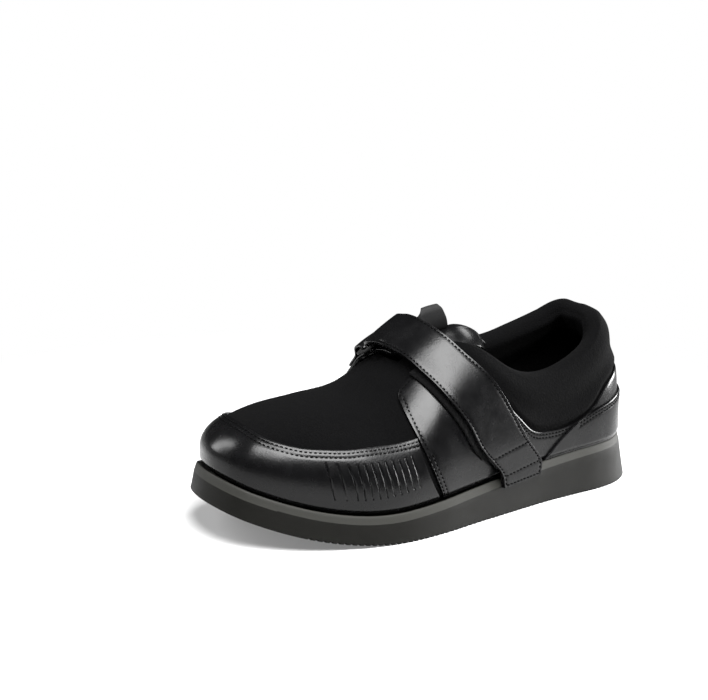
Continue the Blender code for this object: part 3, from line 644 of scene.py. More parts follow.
def sew(mesh, points, normals):
    lengths = runLengths(points)
    count = max(1, int(lengths[-1] / thread["pitch"]))
    spots = (np.arange(count) + 0.5) * lengths[-1] / count
    ahead = np.minimum(spots + 0.0004, lengths[-1])
    places, reaches, facings = (
        samplePath(at, lengths, values)
        for at, values in ((spots, points), (ahead, points), (spots, normals))
    )
    for place, reach, facing in zip(places, reaches, facings):
        here = Vector(place)
        run = Vector(reach) - here
        if run.length < 1e-7:
            continue
        run.normalize()
        side = Vector(facing).normalized().cross(run).normalized()
        up = run.cross(side)
        axes = (run * thread["length"], side * thread["width"], up * thread["height"])
        turn = Matrix([axis / 2 for axis in axes]).transposed().to_4x4()
        bmesh.ops.create_icosphere(
            mesh, subdivisions=2, radius=1, matrix=Matrix.Translation(here) @ turn
        )


def sewRuns(name, runs, slotName):
    mesh = bmesh.new()
    for points, normals in runs:
        sew(mesh, points, normals)
    settle(makePiece(name, mesh, threadLook), slotName)


def stitchGrooves(runs, width=thread["grooveWidth"], depth=thread["grooveDepth"]):
    return [(densify(points, 0.001), width, depth) for points, _ in runs]


# panel rows: around at the foot, around and climb at the top, bow
guardRows = [
    (0.2955, 0.3265, 0.385, 0.010), (0.3370, 0.3475, 0.402, 0.0),
    (0.3695, 0.3800, 0.418, 0.0), (0.4020, 0.4120, 0.417, 0.0),
    (0.4300, 0.4360, 0.398, 0.0), (0.465, 0.465, 0.400, 0.0),
    (0.500, 0.500, 0.430, 0.0), (0.540, 0.540, 0.420, 0.0),
    (0.5690, 0.5630, 0.405, 0.0), (0.5990, 0.5890, 0.400, 0.0),
    (0.6420, 0.6320, 0.395, 0.0), (0.7045, 0.6735, 0.385, -0.010),
]
quarterRows = [
    (0.2930, 0.3262, 0.655, 0.0130), (0.2890, 0.3205, 0.700, 0.0125),
    (0.2840, 0.3070, 0.722, 0.0105), (0.2700, 0.2880, 0.715, 0.0060),
    (0.2500, 0.2600, 0.610, 0.0020), (0.2250, 0.2320, 0.440, 0.0),
    (0.2000, 0.2050, 0.283, 0.0), (0.1850, 0.1860, 0.190, 0.0),
    (0.1620, 0.1620, 0.162, 0.0), (0.1400, 0.1400, 0.165, 0.0),
    (0.1220, 0.1220, 0.188, 0.0), (0.1050, 0.1050, 0.250, 0.0),
    (0.0890, 0.0890, 0.345, 0.0), (0.0650, 0.0650, 0.405, 0.0),
    (0.0300, 0.0300, 0.430, 0.0), (0.0015, 0.0015, 0.435, 0.0),
]
counterRows = [
    (0.1740, 0.1280, 0.180, 0.0080), (0.1300, 0.1100, 0.215, 0.0040),
    (0.1000, 0.0920, 0.238, 0.0010), (0.0720, 0.0700, 0.268, 0.0),
    (0.0350, 0.0350, 0.288, 0.0), (0.0000, 0.0000, 0.293, 0.0),
]
medialFrontRows = [
    (0.2850, 0.3160, 0.830, 0.0130), (0.2820, 0.3110, 0.925, 0.0110),
    (0.2770, 0.3040, 0.960, 0.0080), (0.2690, 0.2920, 0.900, 0.0040),
    (0.2550, 0.2700, 0.720, 0.0020),
]


def rowSteps(rows, count):
    return np.linspace(0, len(rows) - 1, count)


def mirrorRows(rows):
    return [(1 - low, 1 - high, climb, -bow) for low, high, climb, bow in rows]


upperLook = {
    "stations": 360, "outerRows": 72, "crownRows": 16, "innerRows": 32,
    "padFrom": 0.38, "padFull": 0.08, "padSwell": 0.0019, "swellRun": 0.0050,
    "rollSwell": 0.0009, "rollBelow": 0.006, "creaseDepth": 0.0013, "creaseBelow": 0.019,
    "softWidth": 0.006, "rimRise": 0.95, "seamDepth": 0.0006, "seamPlace": 0.72, "seamWidth": 0.05,
}
seamRows = [(high, climb) for _, high, climb, _ in reversed(quarterRows[4:])]


def wallDepth(around, climb):
    top = openingAt(around)
    near = ease(climb - top, -upperLook["padFrom"], -upperLook["padFull"])
    mouth = 1 - ease(alongAt(around), 0.42, 0.51)
    return layers["wall"] + layers["collarPad"] * near * mouth


def collarSwell(around, climb):
    top = openingAt(around)
    below = (top - climb) * girthAt(around)
    turn = np.asarray(around, float) % 1.0
    seam = curveAt(seamRows, np.minimum(turn, 1 - turn))
    above = (climb - seam) * girthAt(around)
    mouth = 1 - ease(alongAt(around), 0.44, 0.54)
    swell = upperLook["padSwell"] * ease(above, 0.0002, upperLook["swellRun"])
    roll = upperLook["rollSwell"] * bell(below - upperLook["rollBelow"], upperLook["softWidth"])
    crease = upperLook["creaseDepth"] * bell(
        below - upperLook["creaseBelow"], upperLook["softWidth"]
    )
    return (swell + roll - crease) * mouth


def buildUpper():
    outer, crown, inner = (upperLook[k] for k in ("outerRows", "crownRows", "innerRows"))
    columns = np.linspace(0, 1, upperLook["stations"] + 1)
    rungs = np.arange(outer + crown + inner + 2)

    def place(around, rung):
        top = openingAt(around)
        closed = top >= 1.0
        rung = np.where(rung > outer + crown + inner, 0, rung)  # the last rung closes the skin
        out = np.clip(rung / outer, 0, 1) * top
        into = np.clip(1 - (rung - outer - crown) / inner, 0, 1) * top
        outside = skinAt(around, out, collarSwell(around, out) + tuckAt(out))
        inside = skinAt(around, into, -wallDepth(around, into))
        rim, final = skinAt(around, top, 0.0), skinAt(around, top, -wallDepth(around, top))
        half = np.linalg.norm(rim - final, axis=1) / 2
        run = unit(rim - skinAt(around, top - 0.03, 0.0))
        turn = np.clip((rung - outer) / crown, 0, 1)
        reach = ((1 - np.cos(turn * math.pi)) / 2)[:, None]
        rise = (np.sin(turn * math.pi) * half * upperLook["rimRise"] * ~closed)[:, None]
        first = skinAt(around, top, collarSwell(around, top))
        over = first * (1 - reach) + final * reach + run * rise
        away = unit(over - (first + final) / 2)
        back = 1 - ease(np.minimum(around % 1, 1 - around % 1), 0.10, 0.15)
        seam = bell(turn - upperLook["seamPlace"], upperLook["seamWidth"])
        seam = seam * back * upperLook["seamDepth"]
        over = over - away * seam[:, None]
        walls = np.where((rung <= outer)[:, None], outside, inside)
        return np.where(((rung > outer) & (rung < outer + crown))[:, None], over, walls)

    mesh, (i, j) = gridPiece(columns, rungs, place)
    mesh.verts.ensure_lookup_table()
    closed = openingAt(columns) >= 1.0
    order = {vert: (a, b) for vert, a, b in zip(mesh.verts, i, j)}
    spare = []  # rim faces past the throat, where the skin is closed on the ridge
    for face in mesh.faces:
        marks = [order[vert] for vert in face.verts]
        level = min(b for a, b in marks)
        if outer <= level < outer + crown and all(closed[a] for a, b in marks):
            spare.append(face)
    bmesh.ops.delete(mesh, geom=spare, context="FACES")
    bmesh.ops.remove_doubles(mesh, verts=mesh.verts, dist=0.00002)
    if mesh.calc_volume(signed=True) < 0:
        bmesh.ops.reverse_faces(mesh, faces=mesh.faces)
    # How far each vertex lies down the inner wall; the knit uses it to paint shade inside the shoe.
    deep = [max(0.0, (order[vert][1] - outer - crown) / inner) for vert in mesh.verts]
    piece = makePiece("upperSkin", mesh, knit)
    depth = piece.data.attributes.new("depth", "FLOAT", "POINT")
    for spot, value in enumerate(deep):
        depth.data[spot].value = value if value <= 1 else 0.0
    settle(piece, "upper", "upper")


def panel(name, rows, columns, rungs, low, thickness, node, lines):
    def place(x, s):
        around, climb = ladderAt(rows, x, s)
        base = skinAt(around, climb, low + thickness)
        found = lastAt(around, climb)[:, 3:]
        soften = tuckAt(climb) - 0.0003 * bell(1 - s, 0.02)  # pared top edge
        return base + found * (soften + troughs(base, lines))[:, None]

    mesh, _ = gridPiece(columns, np.linspace(0, 1, rungs), place)
    faceAway(mesh)
    piece = makePiece(name, mesh, leather)
    thicken(piece, thickness)
    settle(piece, node, node)


def edgeRun(rows, inset, lift, start=0.0, end=None, count=260):
    x = np.linspace(start, end or len(rows) - 1, count)
    around, climb = ladderAt(rows, x, np.ones(count))
    climb = climb - inset / girthAt(around)
    return skinAt(around, climb, lift), lastAt(around, climb)[:, 3:]


def frontRun(rows, inset, low, high, lift, sign, count=120):
    around, climb = ladderAt(rows, np.zeros(count), np.linspace(low, high, count))
    around = around + sign * inset / 0.70
    return skinAt(around, climb, lift), lastAt(around, climb)[:, 3:]


guard = {
    "columns": 241, "rungs": 61,
    "slits": 12, "slitTop": (0.417, 0.317), "slitTopEnd": (0.338, 0.300),
    "slitFoot": (0.412, 0.105), "slitFootEnd": (0.333, 0.135),
    "slitWidth": 0.00045, "slitDepth": 0.0008, "slitColumns": 170,
    "slitSpans": ((0.330, 0.420), (0.580, 0.670)), "stitchIn": (0.0020, 0.0044),
}


def guardSlits():
    lines = []
    for k in range(guard["slits"]):
        t = k / (guard["slits"] - 1)
        top = [a + (b - a) * t for a, b in zip(guard["slitTop"], guard["slitTopEnd"])]
        foot = [a + (b - a) * t for a, b in zip(guard["slitFoot"], guard["slitFootEnd"])]
        s = np.linspace(0, 1, 60)
        for first, second in ((top[0], foot[0]), (1 - top[0], 1 - foot[0])):
            lines.append(skinAt(
                first + (second - first) * s, top[1] + (foot[1] - top[1]) * s,
                np.full(60, gap + overlay),
            ))
    return lines


def buildGuard():
    fine = rowSteps(guardRows, 4000)
    around, _ = ladderAt(guardRows, fine, np.full(4000, 0.6))
    columns = set(np.round(rowSteps(guardRows, guard["columns"]), 5))
    for low, high in guard["slitSpans"]:
        first, final = np.interp((low, high), around, fine)
        columns.update(np.round(np.linspace(first, final, guard["slitColumns"]), 5))
    runs = [edgeRun(guardRows, inset, gap + overlay) for inset in guard["stitchIn"]]
    marks = [(densify(line), guard["slitWidth"], guard["slitDepth"]) for line in guardSlits()]
    panel(
        "toeGuard", guardRows, np.array(sorted(columns)), guard["rungs"], gap, overlay,
        "toe_guard", marks + stitchGrooves(runs, 0.0008),
    )
    sewRuns("toeGuardThread", runs, "toe_guard")


quarter = {
    "columns": 261, "rungs": 49,
    "frontStitches": ((0.0026, 0.45, 0.97), (0.0012, 0.03, 0.42), (0.0042, 0.03, 0.42)),
    "edgeStitches": ((0.0022, 0.3, 4.0), (0.0014, 5.0, 10.3), (0.0034, 5.0, 10.3)),
}


def buildQuarters():
    lift = gap + overlay
    medialRows = mirrorRows(medialFrontRows + quarterRows[len(medialFrontRows):])
    for name, rows, node, side in (
        ("quarterOuter", quarterRows, "quarter_lateral", -1),
        ("quarterInner", medialRows, "quarter_medial", 1),
    ):
        runs = [frontRun(rows, *row, lift, side) for row in quarter["frontStitches"]]
        runs += [edgeRun(rows, inset, lift, *ends) for inset, *ends in quarter["edgeStitches"]]
        panel(
            name, rows, rowSteps(rows, quarter["columns"]), quarter["rungs"], gap, overlay, node,
            stitchGrooves(runs),
        )
        sewRuns(name + "Thread", runs, node)


counter = {"columns": 181, "rungs": 41, "stitchIn": (0.0013, 0.0032)}


def buildCounter():
    other = [(-low, -high, climb, -bow) for low, high, climb, bow in reversed(counterRows[:-1])]
    rows = counterRows + other
    low = 2 * gap + overlay
    runs = [edgeRun(rows, inset, low + layers["counter"]) for inset in counter["stitchIn"]]
    panel(
        "heelCounter", rows, rowSteps(rows, counter["columns"]), counter["rungs"], low,
        layers["counter"], "counter", stitchGrooves(runs),
    )
    sewRuns("counterThread", runs, "counter")


strapLow = 3 * gap + overlay + layers["strap"] / 2
strapOnPad = 4 * gap + overlay + layers["pad"] + layers["strap"] / 2
strapOnStrap = strapLow + layers["strap"] + 2 * gap
strapOnRing = strapLow + layers["strap"] + layers["wire"] + 2 * layers["ringRoom"]
strapRising = strapOnStrap + 0.25 * (strapOnRing - strapOnStrap)
strapRisen = strapOnStrap + 0.75 * (strapOnRing - strapOnStrap)
ringHeight = (strapLow + strapOnRing) / 2
anchorLow = 2 * gap + overlay + layers["anchor"] / 2
anchorBar = anchorLow + (layers["anchor"] + layers["wire"]) / 2 + layers["ringRoom"]
anchorHigh = anchorBar + (layers["anchor"] + layers["wire"]) / 2 + layers["ringRoom"]
anchorClosed = anchorLow + layers["anchor"] + gap
tongueUnder = layers["wall"] + 2 * gap
strap = {
    "columns": 190, "stitched": (0.12, 8.2), "sideRows": (0.055, 0.945), "topRows": 9,
    "crossRows": ((0.14, 0.14), (1.55, 1.75), (0.72, 0.92)),
}
strapRows = [
    # across, front along, back along, height of its middle over the upper's face
    (1.045, 0.423, 0.322, strapOnPad), (0.950, 0.436, 0.324, strapOnPad),
    (0.800, 0.489, 0.370, strapOnPad), (0.667, 0.515, 0.402, strapOnPad),
    (0.500, 0.547, 0.437, strapOnPad), (0.333, 0.569, 0.478, strapOnPad),
    (0.200, 0.579, 0.500, strapOnStrap), (0.110, 0.585, 0.510, strapRising),
    (0.040, 0.590, 0.517, strapRisen), (-0.025, 0.595, 0.524, strapOnRing),
    (-0.062, 0.597, 0.527, strapOnRing), (-0.086, 0.597, 0.527, ringHeight),
    (-0.062, 0.597, 0.527, strapLow), (-0.025, 0.595, 0.524, strapLow),
    (0.030, 0.591, 0.519, strapLow), (0.100, 0.587, 0.512, strapLow),
]
padRows = [
    # across, front along, back along
    (0.270, 0.587, 0.540), (0.350, 0.579, 0.500), (0.500, 0.558, 0.450),
    (0.680, 0.524, 0.420), (0.800, 0.499, 0.400), (0.870, 0.474, 0.380),
]
tongueRows = [
    # along, half width, drop
    (0.366, 0.235, 0.0215), (0.380, 0.250, 0.0155), (0.400, 0.250, 0.0108),
    (0.430, 0.235, 0.0074), (0.460, 0.215, 0.0062), (0.500, 0.210, 0.0036),
    (0.560, 0.220, 0.0014), (0.640, 0.210, 0.0010),
]
anchorRows = [
    # across, height
    (-0.380, anchorLow), (-0.260, anchorLow), (-0.172, anchorLow), (-0.140, anchorBar),
    (-0.172, anchorHigh), (-0.220, anchorHigh), (-0.275, anchorClosed), (-0.380, anchorClosed),
]


def evenColumns(rows, middle, count):
    x = rowSteps(rows, 2000)
    lengths = runLengths(middle(x))
    return np.interp(np.linspace(0, lengths[-1], count), lengths, x)


def strapPoint(x, t, extra=0.0):
    across, front, back, height = rowAt(strapRows, x)
    return drapeAt(front + (back - front) * t, across, height + extra)


def strapRun(x, t):
    points = strapPoint(x, t, layers["strap"] / 2)
    return points, points - strapPoint(x, t, layers["strap"] / 2 - 0.001)


def buildStrap():
    columns = evenColumns(strapRows, lambda x: strapPoint(x, 0.5), strap["columns"])
    rungs = np.concatenate([[0, 0.012], np.linspace(0.03, 0.97, 35), [0.988, 1]])
    runs = [
        strapRun(np.linspace(*strap["stitched"], 300), t) for t in strap["sideRows"]
    ] + [
        strapRun(np.linspace(*ends, 60), np.linspace(0.06, 0.94, 60)) for ends in strap["crossRows"]
    ]
    marks = stitchGrooves(runs, depth=0.00028)

    def place(x, t):
        base = strapPoint(x, t)
        up = unit(strapPoint(x, t, 0.001) - base)
        upper = base + up * (layers["strap"] / 2)
        return base + up * (troughs(upper, marks) * (x < strap["topRows"]))[:, None]

    sheetPiece(
        "strapBand", columns, rungs, place, strapLeather, "strap", layers["strap"], 0.0007
    )
    sewRuns("strapThread", runs, "strap")


def buildPad():
    columns = np.linspace(padRows[0][0], padRows[-1][0], 60)
    height = 3 * gap + overlay + layers["pad"] / 2

    def place(across, t):
        front, back = curveAt(padRows, across, 1), curveAt(padRows, across, 2)
        return drapeAt(front + (back - front) * t, across, np.full(len(t), height))

    rungs = np.linspace(0, 1, 24)
    sheetPiece("hookPad", columns, rungs, place, pile, "loop_pad", layers["pad"], 0.0003)


tongue = {"swell": 0.0004, "narrowing": 0.22, "narrowFrom": 0.378, "narrowRun": 0.018}


def buildTongue():
    columns = np.linspace(tongueRows[0][0], tongueRows[-1][0], 90)

    def place(along, t):
        half, drop = curveAt(tongueRows, along, 1), curveAt(tongueRows, along, 2)
        end = ((tongue["narrowFrom"] - along) / tongue["narrowRun"]).clip(0, 1)
        across = half * (1 - 2 * t) * (1 - tongue["narrowing"] * end**2)
        swell = tongue["swell"] * np.sin(t * math.pi) ** 0.5
        depth = tongueUnder + drop + layers["tongue"] / 2 - swell
        return drapeAt(along, across, -depth)

    sheetPiece(
        "tonguePad", columns, np.linspace(0, 1, 41), place, leather, "tongue",
        layers["tongue"], 0.0011, False,
    )


tab = {
    "front": 0.516, "back": 0.457, "end": -0.150, "turn": 0.000, "height": 0.0125, "base": 2.0,
    "shift": (-0.0016, -0.0030),
}
tabRows = [
    # rise and lean as shares of the height, share of the width
    (0.00, 0.00, 1.00), (0.20, 0.16, 1.00), (0.50, 0.27, 0.98), (0.78, 0.26, 0.88),
    (0.94, 0.18, 0.70), (1.00, 0.10, 0.50),
]


def tabSeat(along, across):
    drop = curveAt(tongueRows, along, 2)
    return drapeAt(along, across, -tongueUnder - drop + gap + layers["tab"] / 2)


def buildTab():
    columns = np.linspace(-tab["base"], len(tabRows) - 1, 60)

    def place(x, t):
        along = tab["front"] + (tab["back"] - tab["front"]) * t
        across = tab["end"] + (tab["turn"] - tab["end"]) * np.clip(x / tab["base"] + 1, 0, 1)
        base = tabSeat(along, across)
        middle = (tabSeat(np.full(len(t), tab["front"]), across)
                  + tabSeat(np.full(len(t), tab["back"]), across)) / 2
        up = np.clip(x, 0, None)
        rise, lean, wide = rowAt(tabRows, up)
        lift = np.column_stack([lean, np.zeros(len(t)), rise]) * tab["height"]
        lift[:, :2] += np.asarray(tab["shift"]) * ease(up, 0, 3)[:, None]
        return middle + (base - middle) * np.where(x > 0, wide, 1)[:, None] + lift

    sheetPiece(
        "pullTab", columns, np.linspace(0, 1, 21), place, tabHide, "tongue_tab",
        layers["tab"] * 2.0, 0.0014, False,
    )


ring = {
    "front": 0.606, "back": 0.518, "top": -0.048, "foot": -0.166, "sides": 12,
    "loopFront": 0.596, "loopBack": 0.528,
}


def ringPath():
    front, back, top, foot = (ring[k] for k in ("front", "back", "top", "foot"))
    corners = [
        (front, top, ringHeight), (back, top, ringHeight), (back, foot, anchorBar),
        (front, foot, anchorBar),
    ]
    path = []
    for k, corner in enumerate(corners):
        for s in np.linspace(0.12, 0.88, 9):
            path.append(drapeAt(*(
                a + (b - a) * s for a, b in zip(corner, corners[(k + 1) % 4])
            )))
    return path


def buildRing():
    path = ringPath()
    mesh = bmesh.new()
    loops = []
    for k, spot in enumerate(path):
        run = Vector(path[(k + 1) % len(path)] - path[k - 1]).normalized()
        side = run.cross(Vector((-0.6, 0, 0.8))).normalized()
        turn = Matrix((side, side.cross(run), run)).transposed().to_4x4()
        made = bmesh.ops.create_circle(
            mesh, segments=ring["sides"], radius=layers["wire"] / 2,
            matrix=Matrix.Translation(Vector(spot)) @ turn,
        )
        loops.append(made["verts"])
    for near, far in zip(loops, loops[1:] + loops[:1]):
        edges = [
            edge for edge in mesh.edges
            if all(vert in near for vert in edge.verts) or all(vert in far for vert in edge.verts)
        ]
        bmesh.ops.bridge_loops(mesh, edges=edges)
    bmesh.ops.recalc_face_normals(mesh, faces=mesh.faces)
    look = buildRubber("ringNylon", (0.010, 0.010, 0.010, 1), (0.016, 0.016, 0.016, 1))
    settle(makePiece("strapRing", mesh, look), "ring", "ring")


def buildRingLoop():
    def place(x, t):
        across, height = rowAt(anchorRows, x)
        along = ring["loopFront"] + (ring["loopBack"] - ring["loopFront"]) * t
        return drapeAt(along, across, height)

    columns = evenColumns(anchorRows, lambda x: place(x, 0.5), 70)
    rungs = np.linspace(0, 1, 21)
    sheetPiece("ringLoop", columns, rungs, place, leather, "ring_anchor", layers["anchor"])


sole = {
    "ribPitch": 0.0037, "ribGroove": 0.0017, "ribDepth": 0.0011, "ribEnd": 0.873,
    "panelDepth": 0.0024, "studWidth": 0.0078, "studHeight": 0.0016, "studTaper": 0.0007,
    "marginOuter": 0.0100, "marginInner": 0.0064, "notchLength": 0.0165, "notchDepth": 0.0050,
    "studRoot": 0.0008, "cut": 0.0040, "rimGroove": 0.0016,
    "stations": 260, "sideRows": 15, "fillRows": 14,
}
panelRows = [
    # along, lateral, medial
    (-0.020, 0.115, 0.234), (0.050, 0.148, 0.234), (0.130, 0.224, 0.227), (0.190, 0.237, 0.181),
    (0.245, 0.243, 0.138), (0.300, 0.223, 0.099), (0.400, 0.240, 0.071), (0.455, 0.254, 0.089),
    (0.500, 0.301, 0.118), (0.555, 0.343, 0.155), (0.610, 0.371, 0.198), (0.685, 0.368, 0.231),
    (0.745, 0.338, 0.241), (0.800, 0.306, 0.228), (0.873, 0.251, 0.198),
]
studRows = [
    # first along, columns, studs in end columns, studs in the others, pitch
    (0.024, 8, 3, 3, 0.0285), (0.490, 12, 4, 5, 0.0332),
]
notchRows = [(0.354, 0.188, 0.313), (0.356, -0.179, -0.066)]


def bottomHeight(along):
    bevel = np.clip(1 - np.asarray(along) / last["bevelEnd"], 0, None)
    return treadHeight(along) + last["heelBevel"] * bevel**2


def soleLevels(around, level):
    along = alongAt(around)
    flare, inset = flareAt(along), last["bandInset"]
    low, high = bottomHeight(along), rimHeight(along)
    band = high - last["bandHeight"]
    side = [
        (0 * flare + 0.0006, low), (0 * flare + 0.0001, low + 0.0004), (0 * flare, low + 0.0010),
        *((flare * share, low + (band - low) * share) for share in (0.25, 0.50, 0.75)),
        (flare * 0.97, band - 0.0004), (flare + 0.0001, band), (flare + 0.0003, band + 0.0004),
        (flare + inset * 0.5, (band + high) / 2 + 0.0002), (flare + inset - 0.0003, high - 0.0006),
        (flare + inset, high - 0.0002), (flare + inset + 0.0004, high),
        (flare + inset + 0.0010, high), (flare + inset + 0.0014, high - sole["rimGroove"]),
    ]
    insets, heights = (np.stack([row[k] for row in side]) for k in (0, 1))
    index, spot = np.clip(level, 0, len(side) - 1), np.arange(len(around))
    return insets[index, spot], heights[index, spot]


def closeIn(around, plan, share):
    middle = np.clip(alongAt(around), last["heelCentre"], last["toeCentre"])
    centre = planAt(middle, np.zeros(len(around)))
    plan = plan * (1 - share)[:, None] + centre * share[:, None]
    return plan, 0.5 - plan[:, 1] / last["length"]


def closedPiece(columns, rungs, place):
    mesh, _ = gridPiece(columns, rungs, place)
    bmesh.ops.remove_doubles(mesh, verts=mesh.verts, dist=0.00003)
    bmesh.ops.recalc_face_normals(mesh, faces=mesh.faces)
    return mesh


def buildSole():
    fill, levels = sole["fillRows"], sole["sideRows"]

    def place(around, rung):
        level = rung - fill
        inset, height = soleLevels(around, level)
        share = np.where(level < 0, -level, np.maximum(level - levels + 1, 0)) / fill
        plan, along = closeIn(around, insetPoint(around, inset), share)
        under = rimHeight(along) - sole["rimGroove"]
        height = np.where(level < levels, height, under)
        return np.column_stack([plan, np.where(level < 0, bottomHeight(along), height)])

    columns = np.linspace(0, 1, sole["stations"] + 1)
    mesh = closedPiece(columns, np.arange(fill + levels + fill), place)
    piece = makePiece("soleUnit", mesh, rubber)
    cutters = []
    for tool, kind in (
        (grooveTool, "DIFFERENCE"), (panelTool, "DIFFERENCE"), (notchTool, "DIFFERENCE"),
        (studTool, "UNION"),
    ):
        cutters.append(makePiece("treadTool", tool(), rubber))
        step = piece.modifiers.new("tread", "BOOLEAN")
        step.operation = kind
        step.object = cutters[-1]
        step.solver = "EXACT"
    depsgraph = bpy.context.evaluated_depsgraph_get()
    finished = bpy.data.meshes.new_from_object(piece.evaluated_get(depsgraph))
    piece.modifiers.clear()
    piece.data = finished
    finished.shade_smooth()
    finished.set_sharp_from_angle(angle=math.radians(32))
    # Marks the tilted faces of the sole's upper band, which get a painted highlight.
    band = finished.attributes.new("band", "FLOAT", "FACE")
    for face in finished.polygons:
        along = 0.5 - face.center.y / last["length"]
        above = face.center.z - (float(rimHeight(along)) - last["bandHeight"])
        band.data[face.index].value = 1.0 if above > 0.0001 and face.normal.z < 0.95 else 0.0
    for tool in cutters:
        bpy.data.objects.remove(tool, do_unlink=True)
    settle(piece, "outsole", "outsole")


def treadPlace(along, x):
    step = 0.005
    rise = treadHeight(along + step) - treadHeight(along - step)
    slope = math.atan2(rise, 2 * step * last["length"])
    spot = (x, last["length"] * (0.5 - along), float(treadHeight(along)))
    return Matrix.Translation(spot) @ Matrix.Rotation(-slope, 4, "X")


def grooveTool():
    mesh = bmesh.new()
    depth, cut = sole["ribDepth"], sole["cut"]
    size = Matrix.Diagonal((2 * last["ballWidth"], sole["ribGroove"], depth + cut, 1))
    middle = Matrix.Translation((0, 0, (depth - cut) / 2))
    for k in range(int(sole["ribEnd"] * last["length"] / sole["ribPitch"])):
        along = (k + 0.5) * sole["ribPitch"] / last["length"]
        bmesh.ops.create_cube(mesh, size=1, matrix=treadPlace(along, 0) @ middle @ size)
    return mesh


def panelTool():
    rows = np.linspace(panelRows[0][0], panelRows[-1][0], 90)

    def place(along, corner):
        left = planAt(along, curveAt(panelRows, along, 1))
        right = planAt(along, -curveAt(panelRows, along, 2))
        deep = treadHeight(along) + sole["panelDepth"]
        plan = np.where(np.isin(corner, (0, 1, 4))[:, None], left, right)
        z = np.where(np.isin(corner, (1, 2)), deep, -sole["cut"])
        return np.column_stack([plan, z])

    mesh, _ = gridPiece(rows, np.arange(5), place)
    bmesh.ops.remove_doubles(mesh, verts=mesh.verts, dist=0.00001)
    bmesh.ops.holes_fill(mesh, edges=mesh.edges, sides=4)
    bmesh.ops.recalc_face_normals(mesh, faces=mesh.faces)
    return mesh


def notchTool():
    mesh = bmesh.new()
    for along, low, high in notchRows:
        (left, y), (right, _) = planAt(along, low), planAt(along, high)
        depth, cut = sole["notchDepth"], sole["cut"]
        size = Matrix.Diagonal((abs(right - left), sole["notchLength"], depth + cut, 1))
        spot = ((left + right) / 2, y, (depth - cut) / 2)
        bmesh.ops.create_cube(mesh, size=1, matrix=Matrix.Translation(spot) @ size)
    return mesh


def studTool():
    mesh = bmesh.new()
    for first, columns, endCount, count, pitch in studRows:
        for k in range(columns):
            along = first + pitch * k
            studs = endCount if k < 2 or k == columns - 1 else count
            left = planAt(along, curveAt(panelRows, along, 1))[0] - sole["marginOuter"]
            right = planAt(along, -curveAt(panelRows, along, 2))[0] + sole["marginInner"]
            for i in range(studs):
                x = left + (right - left) * i / (studs - 1)
                lift = sole["panelDepth"] - (sole["studHeight"] - sole["studRoot"]) / 2
                bmesh.ops.create_cone(
                    mesh, cap_ends=True, segments=24, depth=sole["studHeight"] + sole["studRoot"],
                    radius1=sole["studWidth"] / 2 - sole["studTaper"],
                    radius2=sole["studWidth"] / 2,
                    matrix=treadPlace(along, x) @ Matrix.Translation((0, 0, lift)),
                )
    return mesh


def buildInsole():
    inset = 0.0012 + layers["wall"]
    half = 10

    def place(around, rung):
        plan = insetPoint(around, rimInset(alongAt(around)) + inset)
        share = np.where(rung > half, np.maximum(rung - half - 1, 0), half - rung) / half
        plan, along = closeIn(around, plan, share)
        height = rimHeight(along) + gap + np.where(rung > half, layers["insole"], 0)
        return np.column_stack([plan, height])

    mesh = closedPiece(np.linspace(0, 1, 201), np.arange(2 * half + 2), place)
    settle(makePiece("footbed", mesh, lining), "insole", "insole")


buildUpper()
print("upper built")
buildGuard()
buildQuarters()
buildCounter()
print("panels built")
buildStrap()
buildPad()
buildTongue()
buildTab()
buildRing()
buildRingLoop()
print("strap and tongue built")
buildSole()
buildInsole()
print("sole built")


studio = {
    "azimuth": 58.2, "elevation": 14.097, "roll": 2.0, "distance": 0.900,
    "panX": -0.038071, "panY": 0.084427, "focal": 1528.438, "frame": 708,
    "aim": (0.0, 0.0, 0.04), "lightDistance": 1.25, "fill": 0.015,
    "floorTint": (0.68, 0.68, 0.68, 1), "floorGlow": 0.45, "glowFrom": (0.15, 0.42),
}
softboxes = [
    # name, degrees round from the toe to the outer side, degrees up, width, height, watts
    ("topSoftbox", 86, 63, 1.10, 0.72, 62),
    ("frontSoftbox", -43, 27, 0.36, 0.85, 11),
    ("rearSoftbox", -155, 45, 0.50, 0.45, 5.0),
    ("sideSoftbox", 172, 4, 0.60, 0.45, 34.0),
]


def mixShaders(tree, factor, first, second):
    node = tree.nodes.new("ShaderNodeMixShader")
    for socket, start in zip(node.inputs, (factor, first.outputs[0], second.outputs[0])):
        wire(tree, start, socket)
    return node.outputs[0]


def directionAt(turn, height):
    a, e = math.radians(turn), math.radians(height)
    return Vector((math.sin(a) * math.cos(e), -math.cos(a) * math.cos(e), math.sin(e)))


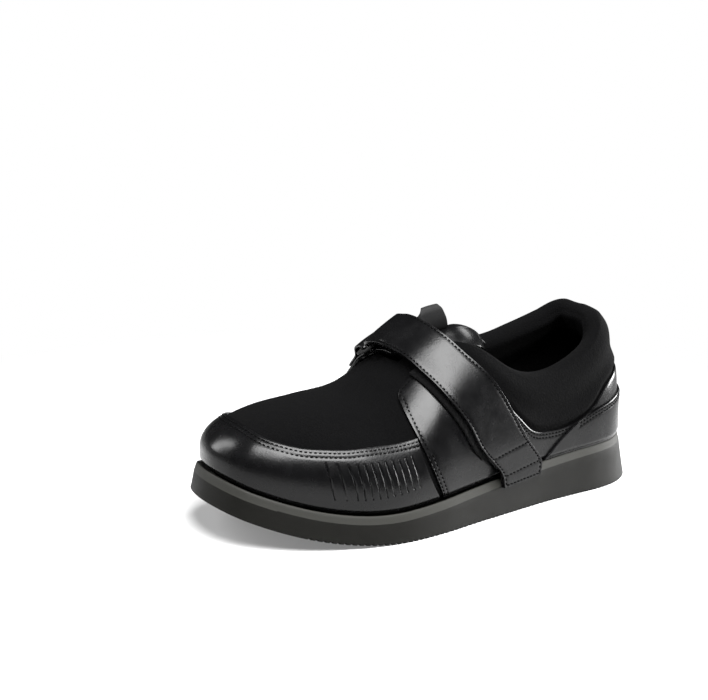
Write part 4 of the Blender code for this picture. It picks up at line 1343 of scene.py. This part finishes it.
def buildFloor():
    mesh = bmesh.new()
    bmesh.ops.create_circle(mesh, cap_ends=True, segments=96, radius=60)
    look, tree, shader = newMaterial("paleFloor")
    setInputs(shader, {
        "Base Color": studio["floorTint"], "Roughness": 0.9, "Specular IOR Level": 0.1,
    })
    place = tree.nodes.new("ShaderNodeTexCoord")
    length = addNode(tree, "ShaderNodeVectorMath", operation="LENGTH")
    wire(tree, place.outputs["Object"], length.inputs[0])
    spread = rangeNode(tree, length.outputs["Value"], *studio["glowFrom"], 0.20, 1.0)
    spread.node.interpolation_type = "SMOOTHSTEP"
    rays = tree.nodes.new("ShaderNodeLightPath").outputs["Is Camera Ray"]
    glow = tree.nodes.new("ShaderNodeEmission")
    shine = mathNode(tree, "MULTIPLY_ADD", rays, 1 - studio["floorGlow"], studio["floorGlow"])
    wire(tree, shine, glow.inputs["Strength"])
    blended = mixShaders(tree, spread, shader, glow)
    wire(tree, blended, tree.nodes["Material Output"].inputs["Surface"])
    makePiece("studioFloor", mesh, look)


def addLight(name, turn, height, size, power):
    data = bpy.data.lights.new(name, "AREA")
    data.shape = "RECTANGLE"
    data.size, data.size_y = size
    data.energy = power
    light = bpy.data.objects.new(name, data)
    scene.collection.objects.link(light)
    away = directionAt(turn, height)
    light.location = Vector(studio["aim"]) + away * studio["lightDistance"]
    light.rotation_euler = away.to_track_quat("Z", "Y").to_euler()


def buildStudio():
    world = bpy.data.worlds.new("studioWorld")
    scene.world = world
    world.use_nodes = True
    tree = world.node_tree
    tree.nodes.clear()
    rays = tree.nodes.new("ShaderNodeLightPath").outputs["Is Camera Ray"]
    seen, fill = (
        addNode(tree, "ShaderNodeBackground", Color=(1, 1, 1, 1), Strength=strength)
        for strength in (1.0, studio["fill"])
    )
    end = tree.nodes.new("ShaderNodeOutputWorld")
    wire(tree, mixShaders(tree, rays, fill, seen), end.inputs["Surface"])
    scene.view_settings.view_transform = "Standard"
    scene.view_settings.look = "None"
    for name, turn, height, wide, tall, power in softboxes:
        addLight(name, turn, height, (wide, tall), power)

    turn, roll = math.radians(studio["azimuth"]), math.radians(studio["roll"])
    back = directionAt(studio["azimuth"], studio["elevation"])
    right = Vector((math.cos(turn), math.sin(turn), 0))
    up = back.cross(right)
    wide = right * math.cos(roll) + up * math.sin(roll)
    tall = up * math.cos(roll) - right * math.sin(roll)
    data = bpy.data.cameras.new("photoCamera")
    data.sensor_width = 36
    data.lens = studio["focal"] / studio["frame"] * 36
    data.clip_end = 200
    camera = bpy.data.objects.new("photoCamera", data)
    scene.collection.objects.link(camera)
    place = back * studio["distance"] + wide * studio["panX"] + tall * studio["panY"]
    place.x -= sideShift
    axes = Matrix((wide, tall, back)).transposed().to_4x4()
    camera.matrix_world = Matrix.Translation(place) @ axes
    scene.camera = camera


buildFloor()
buildStudio()
print("studio built")
